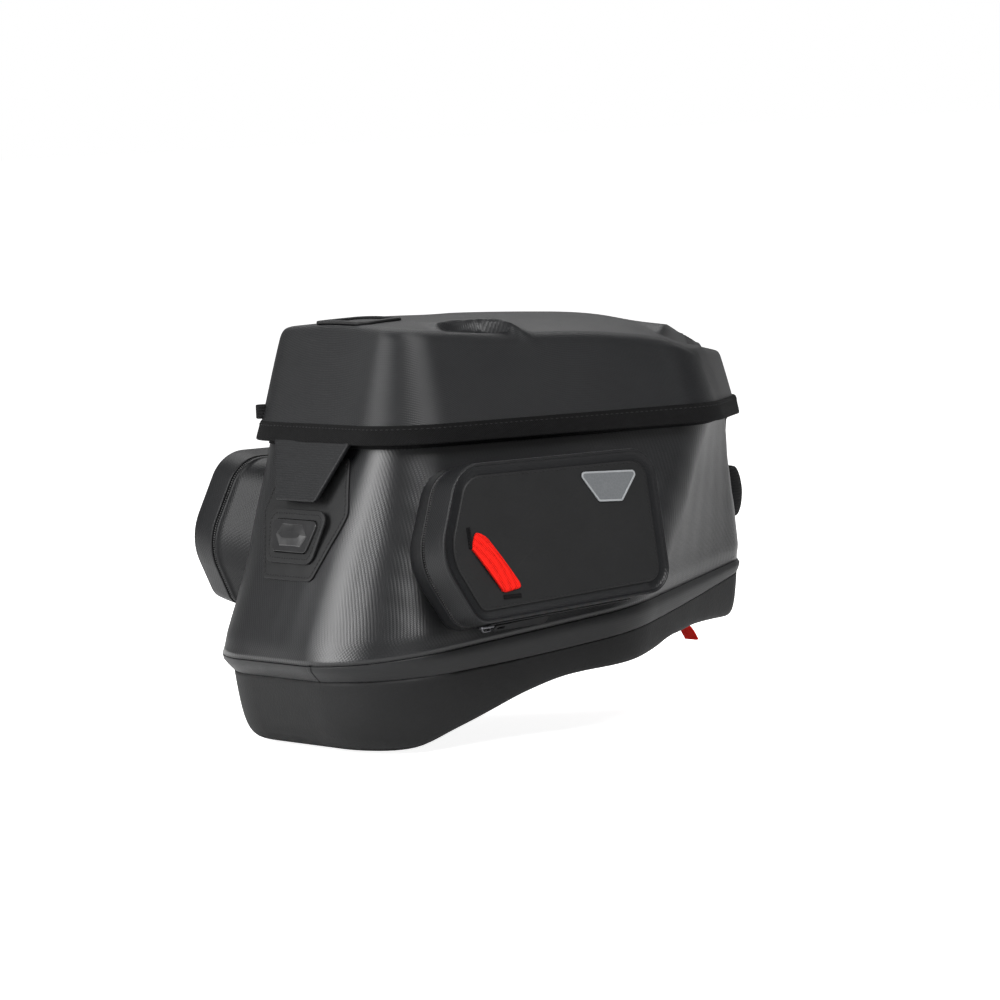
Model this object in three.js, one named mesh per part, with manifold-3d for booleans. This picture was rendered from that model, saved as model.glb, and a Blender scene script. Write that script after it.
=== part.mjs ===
// Motorcycle tank bag: a moulded lid is zipped onto a deep coated-fabric body, which stands on a
// saddle-shaped foam tray with a quick-release ring under it. A pocket with a drop-down door is
// welded to each side, a tongue on the lid covers the zip's meeting point at the rear, and a
// webbing handle crosses the front.
//
// Millimetres. +X is forward on the motorcycle, +Y to the left, +Z up. Shapes are worked out in
// the bag's own axes (x = 0 at mid-lid, z = 0 at the lid's rim) and the whole bag then moves so
// that the origin is the centre of the tank ring's lower face.
import * as THREE from 'three';
import { mergeVertices } from 'three/addons/utils/BufferGeometryUtils.js';
import Module from 'manifold-3d';

const wasm = await Module();
wasm.setup();

// ---- driving dimensions ----
const GAP = 0.3;                  // clearance between touching pieces
const SKIN = 2.4;                 // coated fabric on its foam backing
const LID_WALL = 5;               // moulded foam lid
const TRAY_WALL = 5;              // moulded foam base
const OVERHANG = 9;               // the lid's rim stands out past the body's top edge
const BINDING_HEIGHT = 13;
const BINDING_THICKNESS = 1.9;
const BINDING_LEAN = 3.4;
const LEDGE_FALL = 126.7;         // depth of the body's lower ledge below the rim at x = 0
const LEDGE_SLOPE = 0.122;        // the ledge rises towards the front
const SEAM_FALL = 144.6;          // depth of the lower seam at x = 0
const SEAM_SLOPE = 0.143;
const SEAM_CURVE = 0.00022;
const RING_X = 20;                // tank ring's centre
const RING_Z = -163;              // its lower face
const RING_TILT = THREE.MathUtils.degToRad(8);
const RING_RADIUS = 56;
const RING_HEIGHT = 14;
const POCKET_LEAN = THREE.MathUtils.degToRad(9);
const POCKET_X = -4.5;
const POCKET_Y = 161;             // distance of the pocket's face from the middle plane
const POCKET_Z = -65.5;
const POCKET_LIP = 28;            // depth of the pocket's door, from zip to face

// ---- plan outlines: each half has a rear, a widest and a front corner ----
const LID_RIM = {
  rear: -170, rearHalf: 103, rearRadius: 48,
  wideX: 99, wideHalf: 117.5, wideRadius: 55,
  front: 170, frontHalf: 54, frontRadius: 40,
};
const LEDGE = {
  rear: -215, rearHalf: 114, rearRadius: 80,
  wideX: 9, wideHalf: 135, wideRadius: 90,
  front: 166.5, frontHalf: 59, frontRadius: 30,
};
const SEAM = {
  rear: -205, rearHalf: 109, rearRadius: 76,
  wideX: 9, wideHalf: 131, wideRadius: 90,
  front: 165, frontHalf: 57, frontRadius: 29,
};

// ---- profile lines along the bag, as [x, height] ----
const LID_CREST = [[-180, 80], [-150, 83], [-65, 84.5], [28, 81], [78, 76], [125, 62], [170, 47]];
const LID_SHOULDER = [
  [-180, 76], [-155, 78], [-111, 73], [-62, 68], [9, 66], [70, 59], [101, 50], [170, 42],
];
const SHOULDER_Y = 95;
const UNDERSIDE = [
  [-215, -213], [-158, -214], [-132, -205], [-103, -193], [-71, -180],
  [-38, -171], [24, -165], [77, -154], [104, -150], [170, -150],
];
const SADDLE_RISE = 18;           // the underside arches up along the middle
const SADDLE_HALF = 105;          // half the arch's width; it narrows with the bag's nose
const SADDLE_NARROWING = 60;

const ARC_STEPS = 4;
const EDGE_STEPS = 2;

// ---- materials ----
function matte(color, roughness, metalness = 0) {
  return new THREE.MeshStandardMaterial({ color, roughness, metalness });
}
const LID_FABRIC = matte(0x1d1d1f, 0.75);
const BODY_FABRIC = matte(0x1a1b1d, 0.4);
const TRAY_FOAM = matte(0x1e1f20, 0.8);
const WEBBING = matte(0x101011, 0.9);
const PANEL_FABRIC = matte(0x18191a, 0.7);
const BLACK_PLASTIC = matte(0x141415, 0.5);
const RED_WEBBING = matte(0xe0261c, 0.8);
const REFLECTIVE = matte(0x8f9497, 0.35);
const STEEL = matte(0xb4b4b6, 0.3, 1);
const MESH_NET = matte(0x222224, 0.9);

// ---- geometry helpers ----
function smoothLine(points, x) {
  const last = points.length - 1;
  const clamped = THREE.MathUtils.clamp(x, points[0][0], points[last][0]);
  let i = 0;
  while (i < last - 1 && clamped > points[i + 1][0]) i += 1;
  const slope = (k) => {
    const a = points[Math.max(k - 1, 0)];
    const b = points[Math.min(k + 1, last)];
    return (b[1] - a[1]) / (b[0] - a[0]);
  };
  const [x0, z0] = points[i];
  const [x1, z1] = points[i + 1];
  const span = x1 - x0;
  const t = (clamped - x0) / span;
  const t2 = t * t;
  const t3 = t2 * t;
  return z0 * (2 * t3 - 3 * t2 + 1) + z1 * (3 * t2 - 2 * t3)
    + slope(i) * span * (t3 - 2 * t2 + t) + slope(i + 1) * span * (t3 - t2);
}

// A closed polygon with rounded corners, as a counter-clockwise list of Vector2.
function roundedOutline(corners, arcSteps = ARC_STEPS, edgeSteps = EDGE_STEPS) {
  const arcs = corners.map(([x, y, radius], i) => {
    const corner = new THREE.Vector2(x, y);
    const before = corners[(i + corners.length - 1) % corners.length];
    const after = corners[(i + 1) % corners.length];
    const back = new THREE.Vector2(before[0], before[1]).sub(corner).normalize();
    const ahead = new THREE.Vector2(after[0], after[1]).sub(corner).normalize();
    const half = Math.acos(back.dot(ahead)) / 2;
    const inward = back.clone().add(ahead).normalize();
    const centre = inward.multiplyScalar(radius / Math.sin(half)).add(corner);
    const start = back.clone().multiplyScalar(radius / Math.tan(half)).add(corner).sub(centre);
    const turn = Math.PI - 2 * half;
    const points = [];
    for (let k = 0; k <= arcSteps; k += 1) {
      points.push(start.clone().rotateAround(new THREE.Vector2(), (turn * k) / arcSteps).add(centre));
    }
    return points;
  });
  return arcs.flatMap((arc, i) => {
    const from = arc[arc.length - 1];
    const to = arcs[(i + 1) % arcs.length][0];
    const edge = [];
    for (let k = 1; k <= edgeSteps; k += 1) {
      edge.push(from.clone().lerp(to, k / (edgeSteps + 1)));
    }
    return [...arc, ...edge];
  });
}

function planOutline(plan) {
  return roundedOutline([
    [plan.front, -plan.frontHalf, plan.frontRadius],
    [plan.front, plan.frontHalf, plan.frontRadius],
    [plan.wideX, plan.wideHalf, plan.wideRadius],
    [plan.rear, plan.rearHalf, plan.rearRadius],
    [plan.rear, -plan.rearHalf, plan.rearRadius],
    [plan.wideX, -plan.wideHalf, plan.wideRadius],
  ]);
}

// Moves a counter-clockwise outline outwards by a distance (inwards if it is negative).
function offsetOutline(outline, distance) {
  const count = outline.length;
  return outline.map((point, i) => {
    const along = outline[(i + 1) % count].clone().sub(outline[(i + count - 1) % count]).normalize();
    return new THREE.Vector2(point.x + along.y * distance, point.y - along.x * distance);
  });
}

// Insets an outline by a distance that depends on x.
function insetBy(outline, distance) {
  const unit = offsetOutline(outline, -1);
  return outline.map((p, i) => p.clone().addScaledVector(unit[i].sub(p), distance(p.x)));
}

function lerpOutline(a, b, t) {
  return a.map((point, i) => point.clone().lerp(b[i], t));
}

function ringAt(outline, height) {
  const heightAt = typeof height === 'function' ? height : () => height;
  return outline.map((p) => new THREE.Vector3(p.x, p.y, heightAt(p.x, p.y)));
}

function signedVolume(positions, index) {
  let total = 0;
  const [a, b, c] = [new THREE.Vector3(), new THREE.Vector3(), new THREE.Vector3()];
  for (let i = 0; i < index.length; i += 3) {
    a.fromArray(positions, index[i] * 3);
    b.fromArray(positions, index[i + 1] * 3);
    c.fromArray(positions, index[i + 2] * 3);
    total += a.dot(b.cross(c)) / 6;
  }
  return total;
}

function indexedGeometry(positions, index) {
  const ordered = [...index];
  if (signedVolume(positions, index) < 0) ordered.reverse();
  const geometry = new THREE.BufferGeometry();
  geometry.setAttribute('position', new THREE.Float32BufferAttribute(positions, 3));
  geometry.setIndex(ordered);
  geometry.computeVertexNormals();
  return geometry;
}

// Skins a stack of equal rings. Wrapped, the last ring joins the first, as on a tube's two
// surfaces; otherwise each end closes on its ring's middle.
function skin(rings, wrapped) {
  const count = rings[0].length;
  const positions = rings.flat().flatMap((p) => [p.x, p.y, p.z]);
  const index = [];
  const bands = wrapped ? rings.length : rings.length - 1;
  for (let r = 0; r < bands; r += 1) {
    const low = r * count;
    const high = ((r + 1) % rings.length) * count;
    for (let i = 0; i < count; i += 1) {
      const j = (i + 1) % count;
      index.push(low + i, low + j, high + j, low + i, high + j, high + i);
    }
  }
  if (!wrapped) {
    [0, rings.length - 1].forEach((end) => {
      const middle = new THREE.Vector3();
      rings[end].forEach((p) => middle.addScaledVector(p, 1 / count));
      const tip = positions.length / 3;
      positions.push(middle.x, middle.y, middle.z);
      for (let i = 0; i < count; i += 1) {
        const a = end * count + i;
        const b = end * count + ((i + 1) % count);
        if (end === 0) index.push(tip, b, a);
        else index.push(tip, a, b);
      }
    });
  }
  return indexedGeometry(positions, index);
}

function toSolid(geometry) {
  const bare = geometry.clone();
  bare.deleteAttribute('normal');
  bare.deleteAttribute('uv');
  const merged = mergeVertices(bare, 1e-4);
  return new wasm.Manifold(new wasm.Mesh({
    numProp: 3,
    vertProperties: new Float32Array(merged.attributes.position.array),
    triVerts: new Uint32Array(merged.index.array),
  }));
}

function toGeometry(solid) {
  const mesh = solid.getMesh();
  const geometry = new THREE.BufferGeometry();
  geometry.setAttribute('position', new THREE.BufferAttribute(mesh.vertProperties, 3));
  geometry.setIndex(new THREE.BufferAttribute(mesh.triVerts, 1));
  geometry.computeVertexNormals();
  return geometry;
}

// Extrudes an outline of Vector2 along +Z from one height to another.
function slab(outline, low, high) {
  const geometry = new THREE.ExtrudeGeometry(new THREE.Shape(outline), {
    depth: high - low, bevelEnabled: false, curveSegments: 8,
  });
  geometry.translate(0, 0, low);
  return geometry;
}

function box(lengthX, lengthY, lengthZ, x, y, z) {
  const geometry = new THREE.BoxGeometry(lengthX, lengthY, lengthZ);
  geometry.translate(x, y, z);
  return geometry;
}

// A cylinder along +Z.
function rod(radius, low, high, x = 0, y = 0, sides = 16) {
  const geometry = new THREE.CylinderGeometry(radius, radius, high - low, sides);
  geometry.rotateX(Math.PI / 2);
  geometry.translate(x, y, (low + high) / 2);
  return geometry;
}

function mirroredZ(geometry) {
  const positions = [...geometry.attributes.position.array];
  for (let i = 2; i < positions.length; i += 3) positions[i] = -positions[i];
  const count = positions.length / 3;
  const index = geometry.index ? [...geometry.index.array] : [...Array(count).keys()];
  return indexedGeometry(positions, index.reverse());
}

function mesh(name, geometry, material) {
  const piece = new THREE.Mesh(geometry, material);
  piece.name = name;
  return piece;
}

// ---- the body's surfaces ----
const lidRim = planOutline(LID_RIM);
const bodyTop = offsetOutline(lidRim, -OVERHANG);
const ledgeLine = planOutline(LEDGE);
const seamLine = planOutline(SEAM);
const ledgeHeight = (x) => -LEDGE_FALL + LEDGE_SLOPE * x;
const seamHeight = (x) => -SEAM_FALL + SEAM_SLOPE * x + SEAM_CURVE * x * x;
const TOP_EDGE = -0.8;

const REAR_BULGE = 16;
const BULGE_HALF = 75;

// The wall is almost straight for two thirds of its depth and then flares into the ledge. The
// soft rear wall bulges between its corners.
function bodyRing(t, grow) {
  const flare = 0.8 * t + 0.2 * t ** 4;
  const wall = lerpOutline(bodyTop, ledgeLine, flare).map((p) => {
    const share = p.x < -100 ? Math.max(0, 1 - (p.y / BULGE_HALF) ** 2) : 0;
    return new THREE.Vector2(p.x - REAR_BULGE * (t - t ** 4) * share, p.y);
  });
  const outline = offsetOutline(wall, grow);
  return ringAt(outline, (x) => THREE.MathUtils.lerp(TOP_EDGE, ledgeHeight(x), t));
}

const BODY_LEVELS = [0, 0.2, 0.4, 0.6, 0.75, 0.88, 1];

function bodyHull(grow) {
  return toSolid(skin(BODY_LEVELS.map((t) => bodyRing(t, grow)), false));
}

function bodyShell() {
  const outer = BODY_LEVELS.map((t) => bodyRing(t, 0));
  const inner = BODY_LEVELS.map((t) => bodyRing(t, -SKIN)).reverse();
  return skin([...outer, ...inner], true);
}

// A patch that lies on the body: the part of an even layer outside the wall that falls inside a
// cutter.
function onBody(cutter, thickness, lift = GAP) {
  return bodyHull(lift + thickness).subtract(bodyHull(lift)).intersect(cutter);
}

// A cutter along X from a side-to-side outline of [y, z] points.
function cutterAlongX(points, fromX, toX) {
  const geometry = slab(points.map(([y, z]) => new THREE.Vector2(y, z)), 0, toX - fromX);
  geometry.applyMatrix4(new THREE.Matrix4().makeBasis(
    new THREE.Vector3(0, 1, 0), new THREE.Vector3(0, 0, 1), new THREE.Vector3(1, 0, 0),
  ));
  geometry.translate(fromX, 0, 0);
  return toSolid(geometry);
}

function weldBand() {
  const outerTop = ringAt(ledgeLine, (x) => ledgeHeight(x) - GAP);
  const outerMid = ringAt(offsetOutline(lerpOutline(ledgeLine, seamLine, 0.4), 0.8),
    (x) => THREE.MathUtils.lerp(ledgeHeight(x), seamHeight(x), 0.45));
  const outerLow = ringAt(seamLine, (x) => seamHeight(x) + GAP);
  const innerLow = ringAt(offsetOutline(seamLine, -SKIN), (x) => seamHeight(x) + GAP);
  const innerTop = ringAt(offsetOutline(ledgeLine, -SKIN), (x) => ledgeHeight(x) - GAP);
  return skin([outerTop, outerMid, outerLow, innerLow, innerTop], true);
}

// ---- base tray ----
function underside(x, y) {
  const edge = smoothLine(UNDERSIDE, x);
  const half = SADDLE_HALF - SADDLE_NARROWING * THREE.MathUtils.smoothstep(x, 50, 140);
  const across = Math.max(0, 1 - (y / half) ** 2);
  const behind = THREE.MathUtils.smoothstep(x, -165, -100);
  const ahead = 1 - THREE.MathUtils.smoothstep(x, 95, 155);
  return edge + SADDLE_RISE * across * behind * ahead;
}

// [inward offset, share of the way from the seam down to the underside]
const TRAY_WALL_PROFILE = [[0, 0], [2, 0.3], [5, 0.62], [9, 0.84], [15, 0.96], [23, 1]];
const TRAY_FLOOR_SHRINK = [0.84, 0.66, 0.46, 0.24];
const TRAY_MIDDLE = new THREE.Vector2(-20, 0);

// The tray's lower edge is well rounded at the rear and tighter towards the front.
const trayRounding = (x) => 1 - 0.5 * THREE.MathUtils.smoothstep(x, -160, 0);

function trayRings(thickness) {
  const wall = TRAY_WALL_PROFILE.map(([inward, share]) => {
    const outline = insetBy(seamLine, (x) => inward * trayRounding(x) + thickness);
    const height = (x, y) => THREE.MathUtils.lerp(seamHeight(x), underside(x, y) + thickness, share);
    return ringAt(outline, height);
  });
  const floorInset = TRAY_WALL_PROFILE.at(-1)[0];
  const edge = insetBy(seamLine, (x) => floorInset * trayRounding(x) + thickness);
  const floor = TRAY_FLOOR_SHRINK.map((shrink) => ringAt(
    edge.map((p) => TRAY_MIDDLE.clone().lerp(p, shrink)), (x, y) => underside(x, y) + thickness,
  ));
  return [...wall, ...floor];
}

const ringFrame = new THREE.Matrix4().makeRotationY(-RING_TILT).setPosition(RING_X, 0, RING_Z);
const BOSS_TOP = 27;
const BOSS_RADIUS = RING_RADIUS + 4;
const SEAT_RADIUS = RING_RADIUS + 6;
const PLATE_TOP = BOSS_TOP + 3;
const SCREW_HOLE = 2.8;
const SCREW_RADIUS = 36;          // of the circle that the ring's four screws stand on
const SCREW_ANGLES = [45, 135, 225, 315].map(THREE.MathUtils.degToRad);
const screwPlaces = SCREW_ANGLES.map((a) => [SCREW_RADIUS * Math.cos(a), SCREW_RADIUS * Math.sin(a)]);

function baseTray() {
  const shell = toSolid(skin([...trayRings(0).reverse(), ...trayRings(TRAY_WALL)], false));
  const boss = rod(BOSS_RADIUS, RING_HEIGHT + GAP, BOSS_TOP, 0, 0, 32).applyMatrix4(ringFrame);
  const seat = rod(SEAT_RADIUS, -4, RING_HEIGHT + GAP, 0, 0, 32).applyMatrix4(ringFrame);
  let tray = shell.add(toSolid(boss)).subtract(toSolid(seat));
  screwPlaces.forEach(([x, y]) => {
    const hole = rod(SCREW_HOLE, 0, BOSS_TOP + 10, x, y, 10).applyMatrix4(ringFrame);
    tray = tray.subtract(toSolid(hole));
  });
  return toGeometry(tray);
}

// ---- lid ----
function lidTop(x, y) {
  const crest = smoothLine(LID_CREST, x);
  const shoulder = smoothLine(LID_SHOULDER, x);
  return crest + (shoulder - crest) * Math.min(1, (y / SHOULDER_Y) ** 2);
}

// [inward offset, share of the lid's height there]
const LID_WALL_PROFILE = [[0, 0], [7, 0.34], [13.5, 0.66], [18, 0.84], [24, 0.95], [32, 1]];
const LID_TOP_SHRINK = [0.85, 0.6, 0.35];
const LID_FOOT = 0.6;

// The lid's wall leans less at the front.
const lidLean = (x) => 1 - 0.45 * THREE.MathUtils.smoothstep(x, 60, 160);

function lidRings(thickness) {
  const wall = LID_WALL_PROFILE.map(([inward, share]) => {
    const outline = insetBy(lidRim, (x) => inward * lidLean(x) + thickness);
    const height = (x, y) => THREE.MathUtils.lerp(LID_FOOT, lidTop(x, y) - thickness, share);
    return ringAt(outline, height);
  });
  const topInset = LID_WALL_PROFILE.at(-1)[0];
  const edge = insetBy(lidRim, (x) => topInset * lidLean(x) + thickness);
  const top = LID_TOP_SHRINK.map((shrink) => ringAt(
    edge.map((p) => p.clone().multiplyScalar(shrink)), (x, y) => lidTop(x, y) - thickness,
  ));
  return [...wall, ...top];
}

function lidShell() {
  return skin([...lidRings(0).reverse(), ...lidRings(LID_WALL)], false);
}

function flatRing(outline, outward, inward, low, high) {
  const outer = offsetOutline(outline, outward);
  const inner = offsetOutline(outline, -inward);
  return skin([ringAt(outer, high), ringAt(outer, low), ringAt(inner, low), ringAt(inner, high)], true);
}

// The binding leans inwards with the lid's wall.
function lidBinding() {
  const outer = GAP + BINDING_THICKNESS;
  return skin([
    ringAt(offsetOutline(lidRim, outer - BINDING_LEAN), BINDING_HEIGHT),
    ringAt(offsetOutline(lidRim, outer), 0),
    ringAt(offsetOutline(lidRim, GAP), 0),
    ringAt(offsetOutline(lidRim, GAP - BINDING_LEAN + 0.7), BINDING_HEIGHT),
  ], true);
}

const TAPE = 1.6;
const TAPE_WIDTH = 7.6;
const FRONT_OF_ZIP = 138;         // the zip's tapes stop here and the fabric hinge takes over

function withoutFront(geometry) {
  const front = toSolid(box(100, 300, 60, FRONT_OF_ZIP + 50, 0, 0));
  return toGeometry(toSolid(geometry).subtract(front));
}

function lidZipTape() {
  return withoutFront(flatRing(lidRim, -LID_WALL - 4 * GAP, 11, 0.4, 2.2));
}

function bodyZipTape() {
  const length = 400;
  const middle = TOP_EDGE - (GAP + TAPE_WIDTH) / 2;
  const band = box(length, length, TAPE_WIDTH, FRONT_OF_ZIP - length / 2, 0, middle);
  return toGeometry(onBody(toSolid(band), TAPE));
}

function hingeStrip() {
  const outline = [[-46, -15], [46, -15], [46, -1.2], [-46, -1.2]];
  return toGeometry(onBody(cutterAlongX(outline, 120, 200), 1.4));
}

const PANEL_RIM = 5;
const PANEL_THICKNESS = 1.8;

// A thin raised frame for an accessory panel, on the lid's rear plateau.
function lidTopPanel() {
  const outline = roundedOutline([[-106, -27, 6], [-106, 27, 6], [-146, 34, 10], [-146, -34, 10]], 3, 1);
  const shape = new THREE.Shape(outline);
  shape.holes.push(new THREE.Path(offsetOutline(outline, -PANEL_RIM)));
  const frame = new THREE.ExtrudeGeometry(shape, { depth: 60, bevelEnabled: false });
  frame.translate(0, 0, 50);
  const lid = toSolid(skin(lidRings(0), false));
  const layer = lid.translate(0, 0, GAP + PANEL_THICKNESS).subtract(lid.translate(0, 0, GAP));
  return toGeometry(layer.intersect(toSolid(frame)));
}

function lidMeshPocket() {
  const outline = roundedOutline([[112, -76, 20], [112, 76, 20], [-138, 84, 24], [-138, -84, 24]], 3, 0);
  return slab(outline, 24, 25.2);
}

// A webbing loop sewn to the lid's left rear corner, just above the binding. Local x points
// out of the corner.
const LOOP_BEARING = THREE.MathUtils.degToRad(145);
const LOOP_RADIUS = LID_RIM.rearRadius - 1.8;   // from the centre of the rim's corner
const LOOP_CENTRE = new THREE.Vector2(
  LID_RIM.rear + LID_RIM.rearRadius + LOOP_RADIUS * Math.cos(LOOP_BEARING),
  LID_RIM.rearHalf - LID_RIM.rearRadius + LOOP_RADIUS * Math.sin(LOOP_BEARING),
);

function lidSideLoop() {
  const corners = [[0, -6, 1], [6.4, -6, 2.8], [6.4, 6, 2.8], [0, 6, 1]];
  const shape = new THREE.Shape(roundedOutline(corners, 3, 0));
  shape.holes.push(new THREE.Path(
    roundedOutline([[1.4, -4.4, 0.5], [5, -4.4, 1.6], [5, 4.4, 1.6], [1.4, 4.4, 0.5]], 3, 0),
  ));
  return new THREE.ExtrudeGeometry(shape, { depth: 10, bevelEnabled: false });
}

// ---- rear closure ----
const WALL_LEAN = Math.atan(0.32);
const FLAP_LEAN = Math.atan(0.4);
const FLAP_X = LID_RIM.rear + 1;  // the flap hangs from under the lid's rim
const ZIP_X = -165.3;             // the sliders' seat on the body's zip tape

// Drawn in the flap's own plane: x across the bag, y up, hanging from y = 0.
function rearFlap() {
  return slab(roundedOutline([[-48, 0, 1], [-25, -43, 5], [25, -43, 5], [48, 0, 1]], 3, 0), 0, 3);
}

function flapHookPad() {
  const corners = [[-19, -40, 3], [19, -40, 3], [19, -26, 3], [-19, -26, 3]];
  return slab(roundedOutline(corners, 2, 0), -2.6, -GAP);
}

const PATCH_THICKNESS = 1.2;

function rearPatch() {
  const outline = [[-40, -10], [-53, -50], [-31, -96], [31, -96], [53, -50], [40, -10]];
  const patch = roundedOutline(outline.map(([y, z]) => [y, z, 6]), 2, 0).map((p) => [p.x, p.y]);
  return toGeometry(onBody(cutterAlongX(patch, -260, -120), PATCH_THICKNESS));
}

function flapLoopPad() {
  const outline = [[-19, -40], [19, -40], [19, -27], [-19, -27]];
  return toGeometry(onBody(cutterAlongX(outline, -260, -120), 1.4, 2 * GAP + PATCH_THICKNESS));
}

const BADGE_Z = -65;

function badgeOutline(inset) {
  const corners = [[-38, 19], [-29, -20], [29, -20], [38, 19]].map(([y, z]) => [
    y - Math.sign(y) * inset, BADGE_Z + z - Math.sign(z) * inset, 5,
  ]);
  return roundedOutline(corners, 3, 0);
}

// A plate on the rear patch, in a plane that leans with the wall.
const BADGE_LEAN = Math.atan(0.308);
const BADGE_X = -189.2;
const BADGE_BORDER = 7.5;

function badgePlate(inset, low, high, hole) {
  const shape = new THREE.Shape(badgeOutline(inset));
  if (hole) shape.holes.push(new THREE.Path(badgeOutline(hole)));
  const geometry = new THREE.ExtrudeGeometry(shape, { depth: high - low, bevelEnabled: false });
  geometry.translate(0, -BADGE_Z, low);
  return geometry;
}

// A plain faceted lozenge stands up from the badge's floor.
function badgeInsert() {
  const floor = toSolid(badgePlate(BADGE_BORDER + GAP, 0, 1.8));
  const foot = [[-20, 0], [-13, -8], [14, -8], [20, 0], [13, 8], [-14, 8]];
  const low = foot.map(([x, y]) => new THREE.Vector3(x, y, 1.6));
  const high = foot.map(([x, y]) => new THREE.Vector3(x * 0.72, y * 0.45, 3.4));
  return toGeometry(floor.add(toSolid(skin([low, high], false))));
}

// ---- pockets: local x forward, y up the face, z outwards, z = 0 at the face ----
const POCKET_CORNERS = [
  [22, -48, 20], [21, 55, 22], [-147, 54, 20], [-172, -9, 26], [-146, -58, 22],
];
const pocketOutline = roundedOutline(POCKET_CORNERS, 4, 1);
const pocketTurn = Math.PI / 2 - POCKET_LEAN;
const pocketFrame = new THREE.Matrix4().makeRotationX(pocketTurn)
  .setPosition(POCKET_X, -POCKET_Y, POCKET_Z);
const bodyInPocket = pocketFrame.clone().invert();
const ZIP_WIDTH = 3;
const HINGE_FROM = new THREE.Vector2(POCKET_CORNERS[4][0], POCKET_CORNERS[4][1]);
const HINGE_TO = new THREE.Vector2(POCKET_CORNERS[0][0], POCKET_CORNERS[0][1]);
const hingeSlope = HINGE_TO.clone().sub(HINGE_FROM).angle();

const GUSSET_FOOT = -70;          // inside the body, which then trims it
const GUSSET_TAPER = 18;          // its rear end slopes forward by this much down to the foot

function pocketGusset() {
  const high = -POCKET_LIP - GAP;
  const taper = (p) => GUSSET_TAPER * (1 - THREE.MathUtils.smoothstep(p.x, -160, -80));
  const tapered = (outline) => outline.map((p) => new THREE.Vector2(p.x + taper(p), p.y));
  const inner = offsetOutline(pocketOutline, -SKIN);
  const tube = skin([
    ringAt(pocketOutline, high), ringAt(tapered(pocketOutline), GUSSET_FOOT),
    ringAt(tapered(inner), GUSSET_FOOT), ringAt(inner, high),
  ], true);
  const hull = bodyHull(GAP).transform(bodyInPocket.elements);
  return toGeometry(toSolid(tube).subtract(hull));
}

function pocketZip() {
  return flatRing(pocketOutline, 0.4, 2.6, -POCKET_LIP, -POCKET_LIP + ZIP_WIDTH);
}

// The door is a shallow tray: a rounded rim stands around a sunken face.
function pocketDoor() {
  const foot = -POCKET_LIP + ZIP_WIDTH + GAP;
  const outer = [[0, foot], [0.4, -6], [1.8, -2.6], [4.4, -0.5], [7, 0], [9.6, -0.6], [10.4, -2.2]];
  const inner = [[2.6, foot], [3, -6.5], [6, -4.6]];
  const toRing = ([inward, height]) => ringAt(offsetOutline(pocketOutline, -inward), height);
  return skin([...outer.reverse().map(toRing), ...inner.map(toRing)], false);
}

const PANEL_TOP = -0.4;

function pocketPanel() {
  return slab(offsetOutline(pocketOutline, -11), -2.2 + GAP, PANEL_TOP);
}

const PANEL_FACE = PANEL_TOP + GAP;

function pocketReflector() {
  const corners = [[-32, 19, 2.5], [-12, 18, 2.5], [5, 39, 2.5], [-47, 41, 2.5]];
  return slab(roundedOutline(corners, 3, 0), PANEL_FACE, PANEL_FACE + 0.8);
}

const STRAP_TOP = new THREE.Vector2(-141, 3);
const STRAP_END = new THREE.Vector2(-116, -34);
const STRAP_WIDTH = 15;

// Drawn along its own length from the upper end.
function elasticStrap() {
  const length = STRAP_TOP.distanceTo(STRAP_END);
  return box(length, STRAP_WIDTH, 1.8, length / 2, 0, PANEL_FACE + 0.9);
}

function strapTack(at) {
  return box(3, STRAP_WIDTH + 1, 1.2, at, 0, PANEL_FACE + 0.6);
}

// A zip slider: a wedge-shaped body with a bridge that holds the puller. Its travel is along x,
// and it sits on the zip's outer side, which is +z.
function zipSlider() {
  const bodyOutline = roundedOutline([[6, -3, 1.5], [6, 3, 1.5], [-5, 4, 2], [-5, -4, 2]], 2, 0);
  const bridge = new THREE.Shape([
    [-3.5, 0], [-3.5, 2.2], [3.5, 2.2], [3.5, 0], [2.3, 0], [2.3, 1.2], [-2.3, 1.2], [-2.3, 0],
  ].map(([x, z]) => new THREE.Vector2(x, z)));
  const arch = new THREE.ExtrudeGeometry(bridge, { depth: 2, bevelEnabled: false });
  arch.rotateX(Math.PI / 2);
  arch.translate(0, 1, 2.3);
  return toGeometry(toSolid(slab(bodyOutline, 0, 2.4)).add(toSolid(arch)));
}

// A flat puller that hangs along +x from its pivot.
function zipPuller(length) {
  const outline = roundedOutline([[0, -3, 2], [length, -4.5, 2], [length, 4.5, 2], [0, 3, 2]], 3, 0);
  return slab(outline, -0.9, 0.9);
}

const SLIDER_X = -119;

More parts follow.
